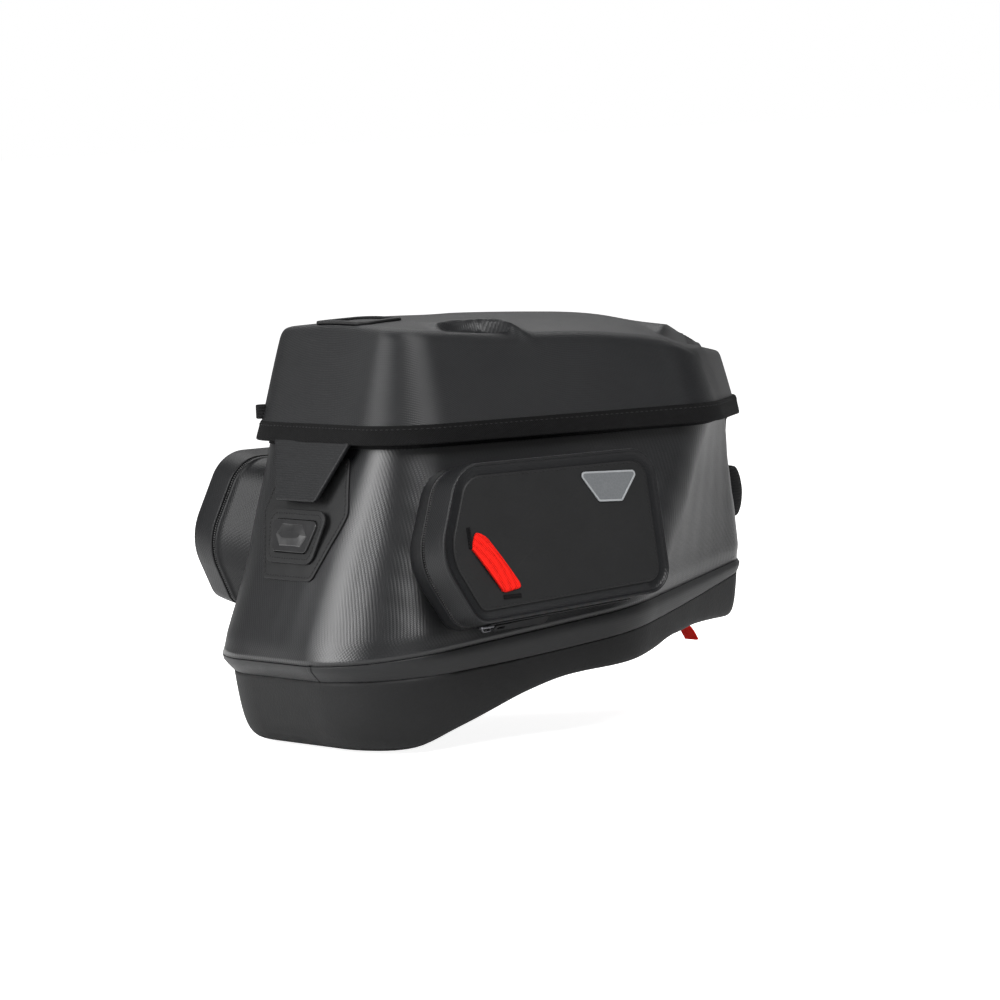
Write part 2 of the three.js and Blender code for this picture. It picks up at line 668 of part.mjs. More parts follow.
// Everything of one pocket, in its local frame; the left one is the right one's mirror image.
function addPocket(side) {
  const left = side === 'left';
  const frame = new THREE.Group();
  frame.position.set(POCKET_X, left ? POCKET_Y : -POCKET_Y, POCKET_Z);
  frame.rotation.x = left ? Math.PI / 2 + POCKET_LEAN : pocketTurn;
  bag.add(frame);
  const place = (name, geometry, material, parent = frame) => {
    parent.add(mesh(`${side}_${name}`, left ? mirroredZ(geometry) : geometry, material));
  };
  place('pocket_gusset', pocketGusset(), BODY_FABRIC);
  place('pocket_zip', pocketZip(), WEBBING);
  place('pocket_door', pocketDoor(), BODY_FABRIC);
  place('pocket_face_panel', pocketPanel(), PANEL_FABRIC);
  place('pocket_reflector', pocketReflector(), REFLECTIVE);

  const strap = new THREE.Group();
  strap.position.set(STRAP_TOP.x, STRAP_TOP.y, 0);
  strap.rotation.z = STRAP_END.clone().sub(STRAP_TOP).angle();
  frame.add(strap);
  const length = STRAP_TOP.distanceTo(STRAP_END);
  place('elastic_strap', elasticStrap(), RED_WEBBING, strap);
  place('strap_tack_upper', strapTack(-2), WEBBING, strap);
  place('strap_tack_lower', strapTack(length + 2), WEBBING, strap);

  const zip = new THREE.Group();
  const atSlider = new THREE.Vector2(SLIDER_X, 0);
  atSlider.y = HINGE_FROM.y + (atSlider.x - HINGE_FROM.x) * Math.tan(hingeSlope);
  zip.position.set(atSlider.x, atSlider.y, 0);
  zip.rotation.z = hingeSlope;
  frame.add(zip);
  // The slider hangs under the gusset, just inside the zip line.
  const slider = zipSlider();
  slider.rotateX(Math.PI / 2);
  slider.translate(0, -0.8, -POCKET_LIP - 4.8);
  place('pocket_slider', slider, STEEL, zip);
  const puller = zipPuller(46);
  puller.rotateX(Math.PI / 2);
  puller.translate(7.2, -3.6, -POCKET_LIP - 5.6);
  place('pocket_puller', puller, BLACK_PLASTIC, zip);
}

// ---- tank ring, in its own frame: lower face at z = 0 ----
const LATCH = { back: 30, front: 58, half: 14, low: 4, high: 8 };
const LATCH_TRAVEL = 8;
const SCREW_HEAD = 4.4;

const MAGNET_RADIUS = 6;
const magnetPlaces = [90, 180, 270].map((deg) => {
  const angle = THREE.MathUtils.degToRad(deg);
  return [37 * Math.cos(angle), 37 * Math.sin(angle)];
});

function ringHousing() {
  const profile = [[0, 0], [49, 0], [51, 2], [51, 5], [46, 6.5], [46, 9], [RING_RADIUS, 10.5],
    [RING_RADIUS, RING_HEIGHT], [0, RING_HEIGHT]];
  const lathe = new THREE.LatheGeometry(profile.map(([r, z]) => new THREE.Vector2(r, z)), 32);
  lathe.rotateX(Math.PI / 2);
  let housing = toSolid(indexedGeometry([...lathe.attributes.position.array], [...lathe.index.array]));
  const slotLength = 50;
  const slotBack = LATCH.back - LATCH_TRAVEL - 4;
  const slot = box(slotLength, 2 * LATCH.half + 2 * GAP, LATCH.high - LATCH.low + 2 * GAP,
    slotBack + slotLength / 2, 0, (LATCH.low + LATCH.high) / 2);
  housing = housing.subtract(toSolid(slot));
  screwPlaces.forEach(([x, y]) => {
    housing = housing.subtract(toSolid(rod(SCREW_HOLE, -1, RING_HEIGHT + 1, x, y, 12)));
    housing = housing.subtract(toSolid(rod(SCREW_HEAD + 0.6, -1, 4, x, y, 12)));
  });
  magnetPlaces.forEach(([x, y]) => {
    housing = housing.subtract(toSolid(rod(MAGNET_RADIUS + GAP, -1, 3.3, x, y, 16)));
  });
  return toGeometry(housing);
}

function ringLatch() {
  return box(LATCH.front - LATCH.back, 2 * LATCH.half, LATCH.high - LATCH.low,
    (LATCH.back + LATCH.front) / 2, 0, (LATCH.low + LATCH.high) / 2);
}

// The release strap runs forward from the latch and ends in a folded loop.
function releaseStrap() {
  const route = new THREE.CurvePath();
  const spots = [[LATCH.front + GAP, 6], [80, 5], [102, -1], [120, -11], [127, -26]];
  route.add(new THREE.CatmullRomCurve3(spots.map(([x, z]) => new THREE.Vector3(x, 0, z))));
  const corners = [[-8, -1], [8, -1], [8, 1], [-8, 1]];
  const section = new THREE.Shape(corners.map(([x, y]) => new THREE.Vector2(x, y)));
  return new THREE.ExtrudeGeometry(section, { steps: 10, bevelEnabled: false, extrudePath: route });
}

function ringScrew(x, y) {
  const shank = 2.5;
  const profile = [
    [0, 0.5], [SCREW_HEAD, 0.5], [SCREW_HEAD, 3.6],
    [shank, 3.6], [shank, PLATE_TOP], [0, PLATE_TOP],
  ];
  const lathe = new THREE.LatheGeometry(profile.map(([r, z]) => new THREE.Vector2(r, z)), 10);
  lathe.rotateX(Math.PI / 2);
  lathe.translate(x, y, 0);
  return indexedGeometry([...lathe.attributes.position.array], [...lathe.index.array]);
}

function backingPlate() {
  let plate = toSolid(slab(roundedOutline(
    [[46, -46, 14], [46, 46, 14], [-46, 46, 14], [-46, -46, 14]], 4, 0,
  ), BOSS_TOP + GAP, PLATE_TOP));
  screwPlaces.forEach(([x, y]) => {
    plate = plate.subtract(toSolid(rod(SCREW_HOLE, BOSS_TOP - 5, BOSS_TOP + 10, x, y, 10)));
  });
  return toGeometry(plate);
}

// ---- front handle ----
const HANDLE_Z = -61;
const HANDLE_HALF = 36;           // half the distance between its ends
const HANDLE_ROOT = 160;          // where its ends meet the body
const HANDLE_REACH = 36.5;
const HANDLE_HEIGHT = 36;
const HANDLE_PIVOT = 12;          // the sewn ends flex this far out of the wall

// A curled band of webbing follows a flat arch in front of the body.
function frontHandle() {
  const edge = HANDLE_HEIGHT / 2;
  const section = [
    [-edge, -2.5], [-10, 0.6], [0, 1.6], [10, 0.6], [edge, -2.5],
    [edge - 0.6, -5], [10, -2.4], [0, -1.4], [-10, -2.4], [0.6 - edge, -5],
  ];
  const steps = 14;
  const first = THREE.MathUtils.degToRad(14);
  const route = [];
  for (let i = 0; i <= steps; i += 1) {
    const angle = first + ((Math.PI - 2 * first) * i) / steps;
    route.push(new THREE.Vector2(-HANDLE_HALF * Math.cos(angle), HANDLE_REACH * Math.sin(angle) ** 0.75));
  }
  const rings = route.map((at, i) => {
    const along = route[Math.min(i + 1, steps)].clone().sub(route[Math.max(i - 1, 0)]).normalize();
    return section.map(([z, out]) => new THREE.Vector3(
      HANDLE_ROOT + at.y + along.x * out, at.x - along.y * out, HANDLE_Z + z,
    ));
  });
  return skin(rings, false);
}

// A patch on the body with a short rounded lug that carries the handle's sewn end.
function handleAnchor(sign) {
  const outline = [[27, -42], [45, -42], [45, -80], [27, -80]].map(([y, z]) => [sign * y, z]);
  const patch = onBody(cutterAlongX(sign > 0 ? outline.reverse() : outline, 100, 220), 1.6);
  const tip = HANDLE_ROOT + HANDLE_PIVOT - 5.5;
  const middle = sign * (HANDLE_HALF - 1);
  const lug = toSolid(box(30, 6, 6, tip - 15, middle, HANDLE_Z));
  const nose = new THREE.CylinderGeometry(3, 3, 6, 12);
  nose.translate(tip, middle, HANDLE_Z);
  const reach = lug.add(toSolid(nose)).subtract(bodyHull(GAP));
  return toGeometry(patch.add(reach));
}

// ---- assembly ----
const bag = new THREE.Group();
bag.position.set(-RING_X, 0, -RING_Z);

function add(name, geometry, material, parent = bag) {
  parent.add(mesh(name, geometry, material));
}

// A group on the rear wall: local x to the right, y up the wall, z out of it.
function rearGroup(x, z, lean) {
  const group = new THREE.Group();
  const across = new THREE.Vector3(0, -1, 0);
  const up = new THREE.Vector3(Math.sin(lean), 0, Math.cos(lean));
  const out = new THREE.Vector3(-Math.cos(lean), 0, Math.sin(lean));
  group.applyMatrix4(new THREE.Matrix4().makeBasis(across, up, out).setPosition(x, 0, z));
  bag.add(group);
  return group;
}

add('body_shell', bodyShell(), BODY_FABRIC);
add('weld_band', weldBand(), BODY_FABRIC);
add('base_tray', baseTray(), TRAY_FOAM);
add('body_zip_tape', bodyZipTape(), WEBBING);
add('lid_hinge_strip', hingeStrip(), BODY_FABRIC);
add('rear_patch', rearPatch(), PANEL_FABRIC);
add('flap_loop_pad', flapLoopPad(), WEBBING);

add('lid_shell', lidShell(), LID_FABRIC);
add('lid_binding', lidBinding(), WEBBING);
add('lid_zip_tape', lidZipTape(), WEBBING);
add('lid_top_panel', lidTopPanel(), PANEL_FABRIC);
add('lid_mesh_pocket', lidMeshPocket(), MESH_NET);

const sideLoop = new THREE.Group();
sideLoop.position.set(LOOP_CENTRE.x, LOOP_CENTRE.y, BINDING_HEIGHT + 1);
sideLoop.rotation.z = LOOP_BEARING;
bag.add(sideLoop);
add('lid_side_loop', lidSideLoop(), WEBBING, sideLoop);

const flap = rearGroup(FLAP_X, -1.3, FLAP_LEAN);
add('rear_flap', rearFlap(), LID_FABRIC, flap);
add('flap_hook_pad', flapHookPad(), WEBBING, flap);

const badge = rearGroup(BADGE_X, BADGE_Z, BADGE_LEAN);
add('badge_frame', badgePlate(0, 0, 1.4, BADGE_BORDER), PANEL_FABRIC, badge);
add('badge_insert', badgeInsert(), BLACK_PLASTIC, badge);

['right', 'left'].forEach((side) => {
  const sign = side === 'right' ? 1 : -1;
  const slider = new THREE.Group();
  slider.position.set(sign * 13, 0, 0);
  slider.rotation.z = sign > 0 ? Math.PI : 0;
  const rearZip = rearGroup(ZIP_X, -4.8, WALL_LEAN);
  rearZip.add(slider);
  add(`${side}_lid_slider`, zipSlider(), STEEL, slider);
  const hanging = rearGroup(ZIP_X - 4.4, -6.6, WALL_LEAN);
  const puller = new THREE.Group();
  puller.position.x = sign * 13;
  puller.rotation.z = -Math.PI / 2;
  hanging.add(puller);
  add(`${side}_lid_puller`, zipPuller(17), BLACK_PLASTIC, puller);
  addPocket(side);
});

const ring = new THREE.Group();
ring.applyMatrix4(ringFrame);
bag.add(ring);
add('tank_ring_housing', ringHousing(), BLACK_PLASTIC, ring);
add('tank_ring_latch', ringLatch(), BLACK_PLASTIC, ring);
add('release_strap', releaseStrap(), RED_WEBBING, ring);
add('ring_backing_plate', backingPlate(), BLACK_PLASTIC, ring);
screwPlaces.forEach(([x, y], i) => add(`ring_screw_${i + 1}`, ringScrew(x, y), STEEL, ring));
magnetPlaces.forEach(([x, y], i) => {
  add(`ring_magnet_${i + 1}`, rod(MAGNET_RADIUS, 0.3, 3, x, y, 16), STEEL, ring);
});

add('front_handle', frontHandle(), WEBBING);
add('left_handle_anchor', handleAnchor(1), WEBBING);
add('right_handle_anchor', handleAnchor(-1), WEBBING);

export default bag;
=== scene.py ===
"""A motorcycle tank bag, dressed over its CAD frame.

Shapes are worked out in the bag's own axes, in millimetres: x = 0 at mid-lid, +x forward,
+y left, z = 0 at the lid's rim. make() moves them into the frame, in metres.
"""
import math

import bmesh
import bpy
import numpy as np
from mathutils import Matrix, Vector
from mathutils.bvhtree import BVHTree


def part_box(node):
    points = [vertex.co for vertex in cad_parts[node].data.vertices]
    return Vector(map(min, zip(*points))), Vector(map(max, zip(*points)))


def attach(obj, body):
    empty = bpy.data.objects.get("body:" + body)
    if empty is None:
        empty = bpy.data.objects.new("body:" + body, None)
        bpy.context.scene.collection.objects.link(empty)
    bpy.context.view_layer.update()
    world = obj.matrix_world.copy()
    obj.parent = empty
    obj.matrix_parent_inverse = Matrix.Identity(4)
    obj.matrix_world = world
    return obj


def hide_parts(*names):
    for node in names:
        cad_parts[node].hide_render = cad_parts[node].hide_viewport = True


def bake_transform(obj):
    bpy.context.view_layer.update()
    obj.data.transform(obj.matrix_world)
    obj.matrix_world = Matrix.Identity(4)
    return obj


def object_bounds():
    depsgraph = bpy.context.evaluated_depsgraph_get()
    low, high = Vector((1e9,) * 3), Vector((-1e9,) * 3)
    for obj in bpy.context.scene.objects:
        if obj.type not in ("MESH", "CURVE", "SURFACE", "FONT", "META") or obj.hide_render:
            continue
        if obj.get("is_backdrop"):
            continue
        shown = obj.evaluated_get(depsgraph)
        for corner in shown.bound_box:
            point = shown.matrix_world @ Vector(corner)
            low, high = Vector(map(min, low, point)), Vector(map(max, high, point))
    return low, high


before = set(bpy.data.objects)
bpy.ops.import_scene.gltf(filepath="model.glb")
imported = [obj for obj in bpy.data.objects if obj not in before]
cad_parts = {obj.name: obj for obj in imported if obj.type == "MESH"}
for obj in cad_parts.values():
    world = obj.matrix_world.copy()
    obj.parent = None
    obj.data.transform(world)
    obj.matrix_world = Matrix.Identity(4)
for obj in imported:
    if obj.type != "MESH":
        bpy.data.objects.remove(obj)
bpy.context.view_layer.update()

MM = 0.001
binding_low, binding_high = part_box("lid_binding")
# The bag's own axes start at the middle of the lid's rim.
BAG_ORIGIN = np.array([(binding_low.x + binding_high.x) / 2, 0, binding_low.z]) / MM
UP = np.array([0.0, 0.0, 1.0])

# ---- camera ----
CAMERA_AZIMUTH = math.radians(34.85)
CAMERA_ELEVATION = math.radians(4.3)
CAMERA_ROLL = math.radians(2.42)
CAMERA_DISTANCE = 4.148
CAMERA_AIM = Vector((-0.0307, 0.0, 0.1095))
CAMERA_LENS = 206.2


def direction(azimuth, elevation):
    """Towards the camera or a light at an azimuth and elevation in radians."""
    level = math.cos(elevation)
    return Vector((-math.sin(azimuth) * level, -math.cos(azimuth) * level, math.sin(elevation)))


def make_camera():
    data = bpy.data.cameras.new("camera")
    data.lens = CAMERA_LENS
    data.clip_end = 100
    camera = bpy.data.objects.new("camera", data)
    bpy.context.scene.collection.objects.link(camera)
    back = direction(CAMERA_AZIMUTH, CAMERA_ELEVATION)
    camera.location = CAMERA_AIM + back * CAMERA_DISTANCE
    camera.rotation_euler = back.to_track_quat("Z", "Y").to_euler()
    camera.rotation_euler.rotate_axis("Z", -CAMERA_ROLL)
    bpy.context.scene.camera = camera


make_camera()

# ---- driving dimensions ----
# They follow the CAD, except that the lid's rear edge is a little lower and the pocket's rear
# corners are rounder, as the photo shows them.
SKIN = 2.4
LID_WALL = 5
TRAY_WALL = 5
OVERHANG = 9
BINDING_HEIGHT = 13
TOP_EDGE = -0.8
LEDGE_FALL = 126.7
LEDGE_SLOPE = 0.122
SEAM_FALL = 144.6
SEAM_SLOPE = 0.143
SEAM_CURVE = 0.00022
REAR_BULGE = 16
BULGE_HALF = 75
RING_X = 20
RING_Z = -163
RING_TILT = math.radians(8)
RING_RADIUS = 56
RING_HEIGHT = 14
BOSS_TOP = 27
POCKET_LEAN = math.radians(9)
POCKET_PLACE = np.array([-4.5, -161, -65.5])
POCKET_LIP = 28
GUSSET_FOOT = 70
GUSSET_TAPER = 18
SADDLE_RISE = 18
SADDLE_HALF = 105
SADDLE_NARROWING = 60
LID_FOOT = 0.6
SCREW_CIRCLE = 36
MAGNET_CIRCLE = 37
POCKET_CORNERS = [
    [22, -48, 20], [21, 55, 22], [-147, 54, 28], [-172, -9, 44], [-146, -58, 16],
]

# [x, y, corner radius], counter-clockwise from the front right
LID_CORNERS = [
    [170, -54, 40], [170, 54, 40], [99, 117.5, 55],
    [-170, 103, 48], [-170, -103, 48], [99, -117.5, 55],
]
LEDGE_CORNERS = [
    [166.5, -59, 30], [166.5, 59, 30], [9, 135, 90],
    [-215, 114, 80], [-215, -114, 80], [9, -135, 90],
]
SEAM_CORNERS = [
    [165, -57, 29], [165, 57, 29], [9, 131, 90],
    [-205, 109, 76], [-205, -109, 76], [9, -131, 90],
]
LID_CREST = [[-180, 77], [-150, 82], [-65, 84.5], [28, 81], [78, 76], [125, 62], [170, 47]]
LID_SHOULDER = [
    [-180, 68], [-155, 76], [-111, 73], [-62, 68], [9, 66], [70, 59], [101, 50], [170, 42],
]
SHOULDER_Y = 95
LID_SIDE_HEIGHT = 70
LID_TOP_RINGS = 44
UNDERSIDE = [
    [-215, -213], [-158, -214], [-132, -205], [-103, -193], [-71, -180],
    [-38, -171], [24, -165], [77, -154], [104, -150], [170, -150],
]
LID_PROFILE = [
    [0, 0], [6.5, 0.32], [12.8, 0.63], [17.8, 0.86], [20, 0.94], [23, 0.985], [27, 1],
]
TRAY_FLOOR_RINGS = 16
TRAY_PROFILE = [[0, 0], [2, 0.3], [5, 0.62], [9, 0.84], [15, 0.96], [23, 1]]

# Points on each arc and on the straight after it, the same on every plan outline.
PLAN_ARC = 16
PLAN_EDGES = [20, 16, 44, 36, 44, 16]


# ---- lines and outlines ----
def unit(vectors):
    length = np.linalg.norm(vectors, axis=-1, keepdims=True)
    return vectors / np.maximum(length, 1e-9)


def lerp(a, b, share):
    return a + (b - a) * share


def smoothstep(x, low, high):
    t = np.clip((x - low) / (high - low), 0, 1)
    return t * t * (3 - 2 * t)


def smooth_line(points, x):
    """The height at x of a smooth line through [x, height] points."""
    xs, zs = np.array(points, float).T
    before = np.maximum(np.arange(len(xs)) - 1, 0)
    after = np.minimum(np.arange(len(xs)) + 1, len(xs) - 1)
    slopes = (zs[after] - zs[before]) / (xs[after] - xs[before])
    x = np.clip(x, xs[0], xs[-1])
    i = np.clip(np.searchsorted(xs, x) - 1, 0, len(xs) - 2)
    span = xs[i + 1] - xs[i]
    t = (x - xs[i]) / span
    start = zs[i] * (2 * t**3 - 3 * t**2 + 1) + slopes[i] * span * (t**3 - 2 * t**2 + t)
    end = zs[i + 1] * (3 * t**2 - 2 * t**3) + slopes[i + 1] * span * (t**3 - t**2)
    return start + end


def smooth_path(points, steps, closed=False):
    """A Catmull-Rom curve through points, with some steps between each pair."""
    points = np.array(points, float)
    count = len(points)
    path = []
    for i in range(count if closed else count - 1):
        if closed:
            a, b, c, d = (points[(i + k) % count] for k in (-1, 0, 1, 2))
        else:
            a, b, c, d = (points[min(max(i + k, 0), count - 1)] for k in (-1, 0, 1, 2))
        for t in np.arange(steps) / steps:
            path.append(0.5 * (
                2 * b + (c - a) * t + (2 * a - 5 * b + 4 * c - d) * t**2
                + (3 * b - a - 3 * c + d) * t**3
            ))
    if not closed:
        path.append(points[-1])
    return np.array(path)


def rounded_outline(corners, arc_steps=8, edge_steps=6):
    """A closed counter-clockwise polygon of [x, y, radius] corners, as points."""
    count = len(corners)
    edges = edge_steps if isinstance(edge_steps, list) else [edge_steps] * count
    arcs = []
    for i, (x, y, radius) in enumerate(corners):
        corner = np.array([x, y], float)
        back = unit(np.array(corners[i - 1][:2], float) - corner)
        ahead = unit(np.array(corners[(i + 1) % count][:2], float) - corner)
        half = math.acos(float(back @ ahead)) / 2
        centre = corner + unit(back + ahead) * radius / math.sin(half)
        start = corner + back * radius / math.tan(half) - centre
        turn = np.linspace(0, math.pi - 2 * half, arc_steps + 1)
        arcs.append(centre + np.stack([
            start[0] * np.cos(turn) - start[1] * np.sin(turn),
            start[0] * np.sin(turn) + start[1] * np.cos(turn),
        ], axis=1))
    outline = []
    for i, arc in enumerate(arcs):
        target = arcs[(i + 1) % count][0]
        outline.extend(arc)
        outline.extend(lerp(arc[-1], target, k / (edges[i] + 1)) for k in range(1, edges[i] + 1))
    return np.array(outline)


def rounded_box(low, high, radius, arc_steps=8, edge_steps=6):
    (x0, y0), (x1, y1) = low, high
    corners = [[x0, y0], [x1, y0], [x1, y1], [x0, y1]]
    return rounded_outline([[x, y, radius] for x, y in corners], arc_steps, edge_steps)


def plan_outline(corners):
    return rounded_outline(corners, PLAN_ARC, PLAN_EDGES)


def outward(outline):
    along = unit(np.roll(outline, -1, axis=0) - np.roll(outline, 1, axis=0))
    return np.stack([along[:, 1], -along[:, 0]], axis=1)


def offset_outline(outline, distance):
    """Moves an outline outwards; the distance may differ from point to point."""
    return outline + outward(outline) * np.reshape(distance, (-1, 1))


def flat_outward(outline):
    return np.column_stack([outward(outline), np.zeros(len(outline))])


def alike(vector, points):
    """The same vector once for each point."""
    return np.tile(np.array(vector, float), (len(points), 1))


def at_height(outline, heights):
    heights = np.broadcast_to(heights, len(outline))
    return np.column_stack([outline, heights])


def circle(radius, count=48, x=0.0, y=0.0):
    turn = np.arange(count) * 2 * math.pi / count
    return np.stack([x + radius * np.cos(turn), y + radius * np.sin(turn)], axis=1)


def even_path(path, pitch, closed=False):
    """Points a pitch apart along a path, with the directions there."""
    if closed:
        path = np.vstack([path, path[:1]])
    steps = np.linalg.norm(np.diff(path, axis=0), axis=1)
    along = np.concatenate([[0], np.cumsum(steps)])
    count = max(int(round(along[-1] / pitch)), 2)
    at = (np.arange(count) + 0.5) * along[-1] / count
    points = np.stack([np.interp(at, along, path[:, k]) for k in range(3)], axis=1)
    ahead = np.stack([np.interp(at + 0.2, along, path[:, k]) for k in range(3)], axis=1)
    behind = np.stack([np.interp(at - 0.2, along, path[:, k]) for k in range(3)], axis=1)
    return points, unit(ahead - behind)


# ---- meshes ----
def skin_faces(ring_count, size, wrapped):
    bands = ring_count if wrapped else ring_count - 1
    faces = []
    for r in range(bands):
        low = r * size
        high = ((r + 1) % ring_count) * size
        for i in range(size):
            j = (i + 1) % size
            faces.append((low + i, low + j, high + j, high + i))
    return faces


def skin(rings, wrapped=False, along_rings=False):
    """Vertices, faces and weave coordinates of a stack of rings.

    Wrapped, the last ring joins the first; otherwise each end closes on its middle. The weave's
    first axis runs round each ring, or from ring to ring if along_rings is set.
    """
    rings = np.array(rings, float)
    count, size = rings.shape[:2]
    faces = skin_faces(count, size, wrapped)
    around = np.linalg.norm(np.roll(rings, -1, axis=1) - rings, axis=2)
    around = np.concatenate([np.zeros((count, 1)), np.cumsum(around, axis=1)], axis=1)
    across = np.linalg.norm(np.diff(np.concatenate([rings, rings[:1]]), axis=0), axis=2)
    across = np.concatenate([np.zeros((1, size)), np.cumsum(across, axis=0)])
    weave = []
    for n in range(len(faces)):
        r, i = divmod(n, size)
        j = (i + 1) % size
        corners = [(around[r, i], across[r, i]), (around[r, i + 1], across[r, j])]
        high = (r + 1) % count
        corners += [(around[high, i + 1], across[r + 1, j]), (around[high, i], across[r + 1, i])]
        weave.append([(v, u) if along_rings else (u, v) for u, v in corners])
    vertices = list(rings.reshape(-1, 3))
    if not wrapped:
        for end in (0, count - 1):
            tip = len(vertices)
            vertices.append(rings[end].mean(axis=0))
            for i in range(size):
                a, b = end * size + i, end * size + (i + 1) % size
                faces.append((tip, b, a) if end == 0 else (tip, a, b))
                weave.append([tuple(vertices[k][:2]) for k in faces[-1]])
    return np.array(vertices), faces, weave


def join(parts):
    """Several (vertices, faces, weave) as one."""
    vertices, faces, weave, start = [], [], [], 0
    for part_vertices, part_faces, part_weave in parts:
        vertices.append(part_vertices)
        faces.extend(tuple(start + k for k in face) for face in part_faces)
        weave.extend(part_weave)
        start += len(part_vertices)
    return np.vstack(vertices), faces, weave


def in_frame(points):
    """The bag's millimetres as the frame's metres."""
    return (np.array(points) + BAG_ORIGIN) * MM


def object_of(name, shape):
    """A Blender object from (vertices, faces, weave), with its faces pointing out."""
    vertices, faces, weave = shape
    data = bpy.data.meshes.new(name)
    data.from_pydata(in_frame(vertices), [], faces)
    layer = data.uv_layers.new(name="weave")
    corners = np.array([c for face in weave for c in face], float) * MM
    layer.data.foreach_set("uv", corners.ravel())
    bm = bmesh.new()
    bm.from_mesh(data)
    bmesh.ops.recalc_face_normals(bm, faces=bm.faces)
    bm.to_mesh(data)
    bm.free()
    data.shade_smooth()
    obj = bpy.data.objects.new(name, data)
    bpy.context.scene.collection.objects.link(obj)
    return obj


def make(name, shape, material, body, replaced=(), sharp=None):
    """A finished piece. Edges sharper than an angle in degrees stay crisp if it is given."""
    obj = object_of(name, shape)
    obj.data.materials.append(material)
    if sharp:
        obj.data.set_sharp_from_angle(angle=math.radians(sharp))
    if replaced:
        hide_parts(*replaced)
    if body:
        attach(obj, body)
    return obj


def dress(node, material, bevel=0.0):
    """Keeps a CAD node's shape and gives it a material, with softened edges."""
    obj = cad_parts[node]
    obj.data.materials.clear()
    obj.data.materials.append(material)
    if bevel:
        modifier = obj.modifiers.new("soft_edges", "BEVEL")
        modifier.width = bevel * MM
        modifier.segments = 3
        modifier.limit_method = "ANGLE"
        modifier.angle_limit = math.radians(35)
    return obj


def carve(obj, cutters):
    """Cuts each shape out of a piece."""
    for cutter_shape in cutters:
        cutter = object_of("cutter", cutter_shape)
        modifier = obj.modifiers.new("carve", "BOOLEAN")
        modifier.object = cutter
        modifier.solver = "EXACT"
        bpy.context.view_layer.update()
        done = bpy.data.meshes.new_from_object(obj.evaluated_get(
            bpy.context.evaluated_depsgraph_get()))
        obj.modifiers.clear()
        obj.data = done
        bpy.data.objects.remove(cutter)
    return obj


def placed(points, origin, across, up, out):
    """Points of (across, up, out) in a local frame, in the bag's axes."""
    return np.array(origin, float) + np.array(points, float) @ np.array([across, up, out], float)


def plate_rings(outline, profile, crown=0.0, shrinks=(0.98, 0.8, 0.6, 0.4, 0.2)):
    """Rings of (u, v, height) for a plate.

    The profile's [inset, height] pairs run from the plate's underside round its edge to its
    face, and the face then rises by the crown towards its middle.
    """
    middle = outline.mean(axis=0)
    foot = offset_outline(outline, -profile[0][0])
    rings = [at_height(lerp(middle, foot, s), profile[0][1]) for s in reversed(shrinks)]
    rings += [at_height(offset_outline(outline, -inset), height) for inset, height in profile]
    face = offset_outline(outline, -profile[-1][0])
    rings += [
        at_height(lerp(middle, face, s), profile[-1][1] + crown * (1 - s**2)) for s in shrinks
    ]
    return np.array(rings)


def placed_rings(rings, place):
    rings = np.array(rings, float)
    return place(rings.reshape(-1, 3)).reshape(rings.shape)


def lay_flat(shape, place, first=0, last=None):
    """Places a shape whose faces, from first to last, take their weave straight from (u, v)."""
    vertices, faces, weave = shape
    flat = [[tuple(vertices[k][:2]) for k in face] for face in faces[first:last]]
    return place(vertices), faces, weave[:first] + flat + (weave[last:] if last else [])


def edge_profile(low, high, radius):
    """A plate edge that is rounded at its face and slightly eased at its back."""
    ease = radius * 0.3
    turn = np.linspace(0, math.pi / 2, 5)
    rounded = [[radius * (1 - math.cos(a)), high - radius * (1 - math.sin(a))] for a in turn]
    return [[ease, low], [0, low + ease], *rounded]


def plate(outline, low, high, radius, place, crown=0.0):
    rings = plate_rings(outline, edge_profile(low, high, radius), crown)
    return lay_flat(skin(rings), place)


def framed_plate(outline, hole, low, high, radius, place):
    """A plate with a hole whose outline matches its own point for point."""
    outer = [at_height(offset_outline(outline, -i), h) for i, h in edge_profile(low, high, radius)]
    inner = [at_height(offset_outline(hole, i), h) for i, h in edge_profile(low, high, radius)]
    return lay_flat(skin(outer + inner[::-1], wrapped=True), place)


def lathe(profile, place, count=64, x=0.0, y=0.0):
    """A turned solid from [radius, height] pairs that start and end near the axis."""
    rings = [at_height(circle(max(r, 0.05), count, x, y), h) for r, h in profile]
    return skin(placed_rings(rings, place))


def band(path, side, face, section, closed=False):
    """Sweeps a section of (along side, along face) along a path."""
    section = np.array(section, float)
    rings = (path[:, None] + side[:, None] * section[None, :, :1]
             + face[:, None] * section[None, :, 1:])
    return skin(rings, wrapped=closed, along_rings=True)


def flat_section(width, thickness, steps=8):
    """The section of a strap with rounded edges, counter-clockwise."""
    half = width / 2 - thickness / 2
    turn = np.linspace(-math.pi / 2, math.pi / 2, steps // 2 + 1)
    right = [[half + thickness / 2 * math.cos(a), thickness / 2 * math.sin(a)] for a in turn]
    middle = [[x, thickness / 2] for x in np.linspace(half, -half, steps)[1:-1]]
    left = [[-x, -y] for x, y in right]
    lower = [[-x, -y] for x, y in middle]
    return right + middle + left + lower


def bead_shape():
    """A small rounded form, two across, for stitches and zip teeth."""
    bm = bmesh.new()
    bmesh.ops.create_icosphere(bm, subdivisions=1, radius=1)
    vertices = np.array([v.co for v in bm.verts])
    faces = [tuple(v.index for v in face.verts) for face in bm.faces]
    bm.free()
    return vertices, faces


BEAD_VERTICES, BEAD_FACES = bead_shape()


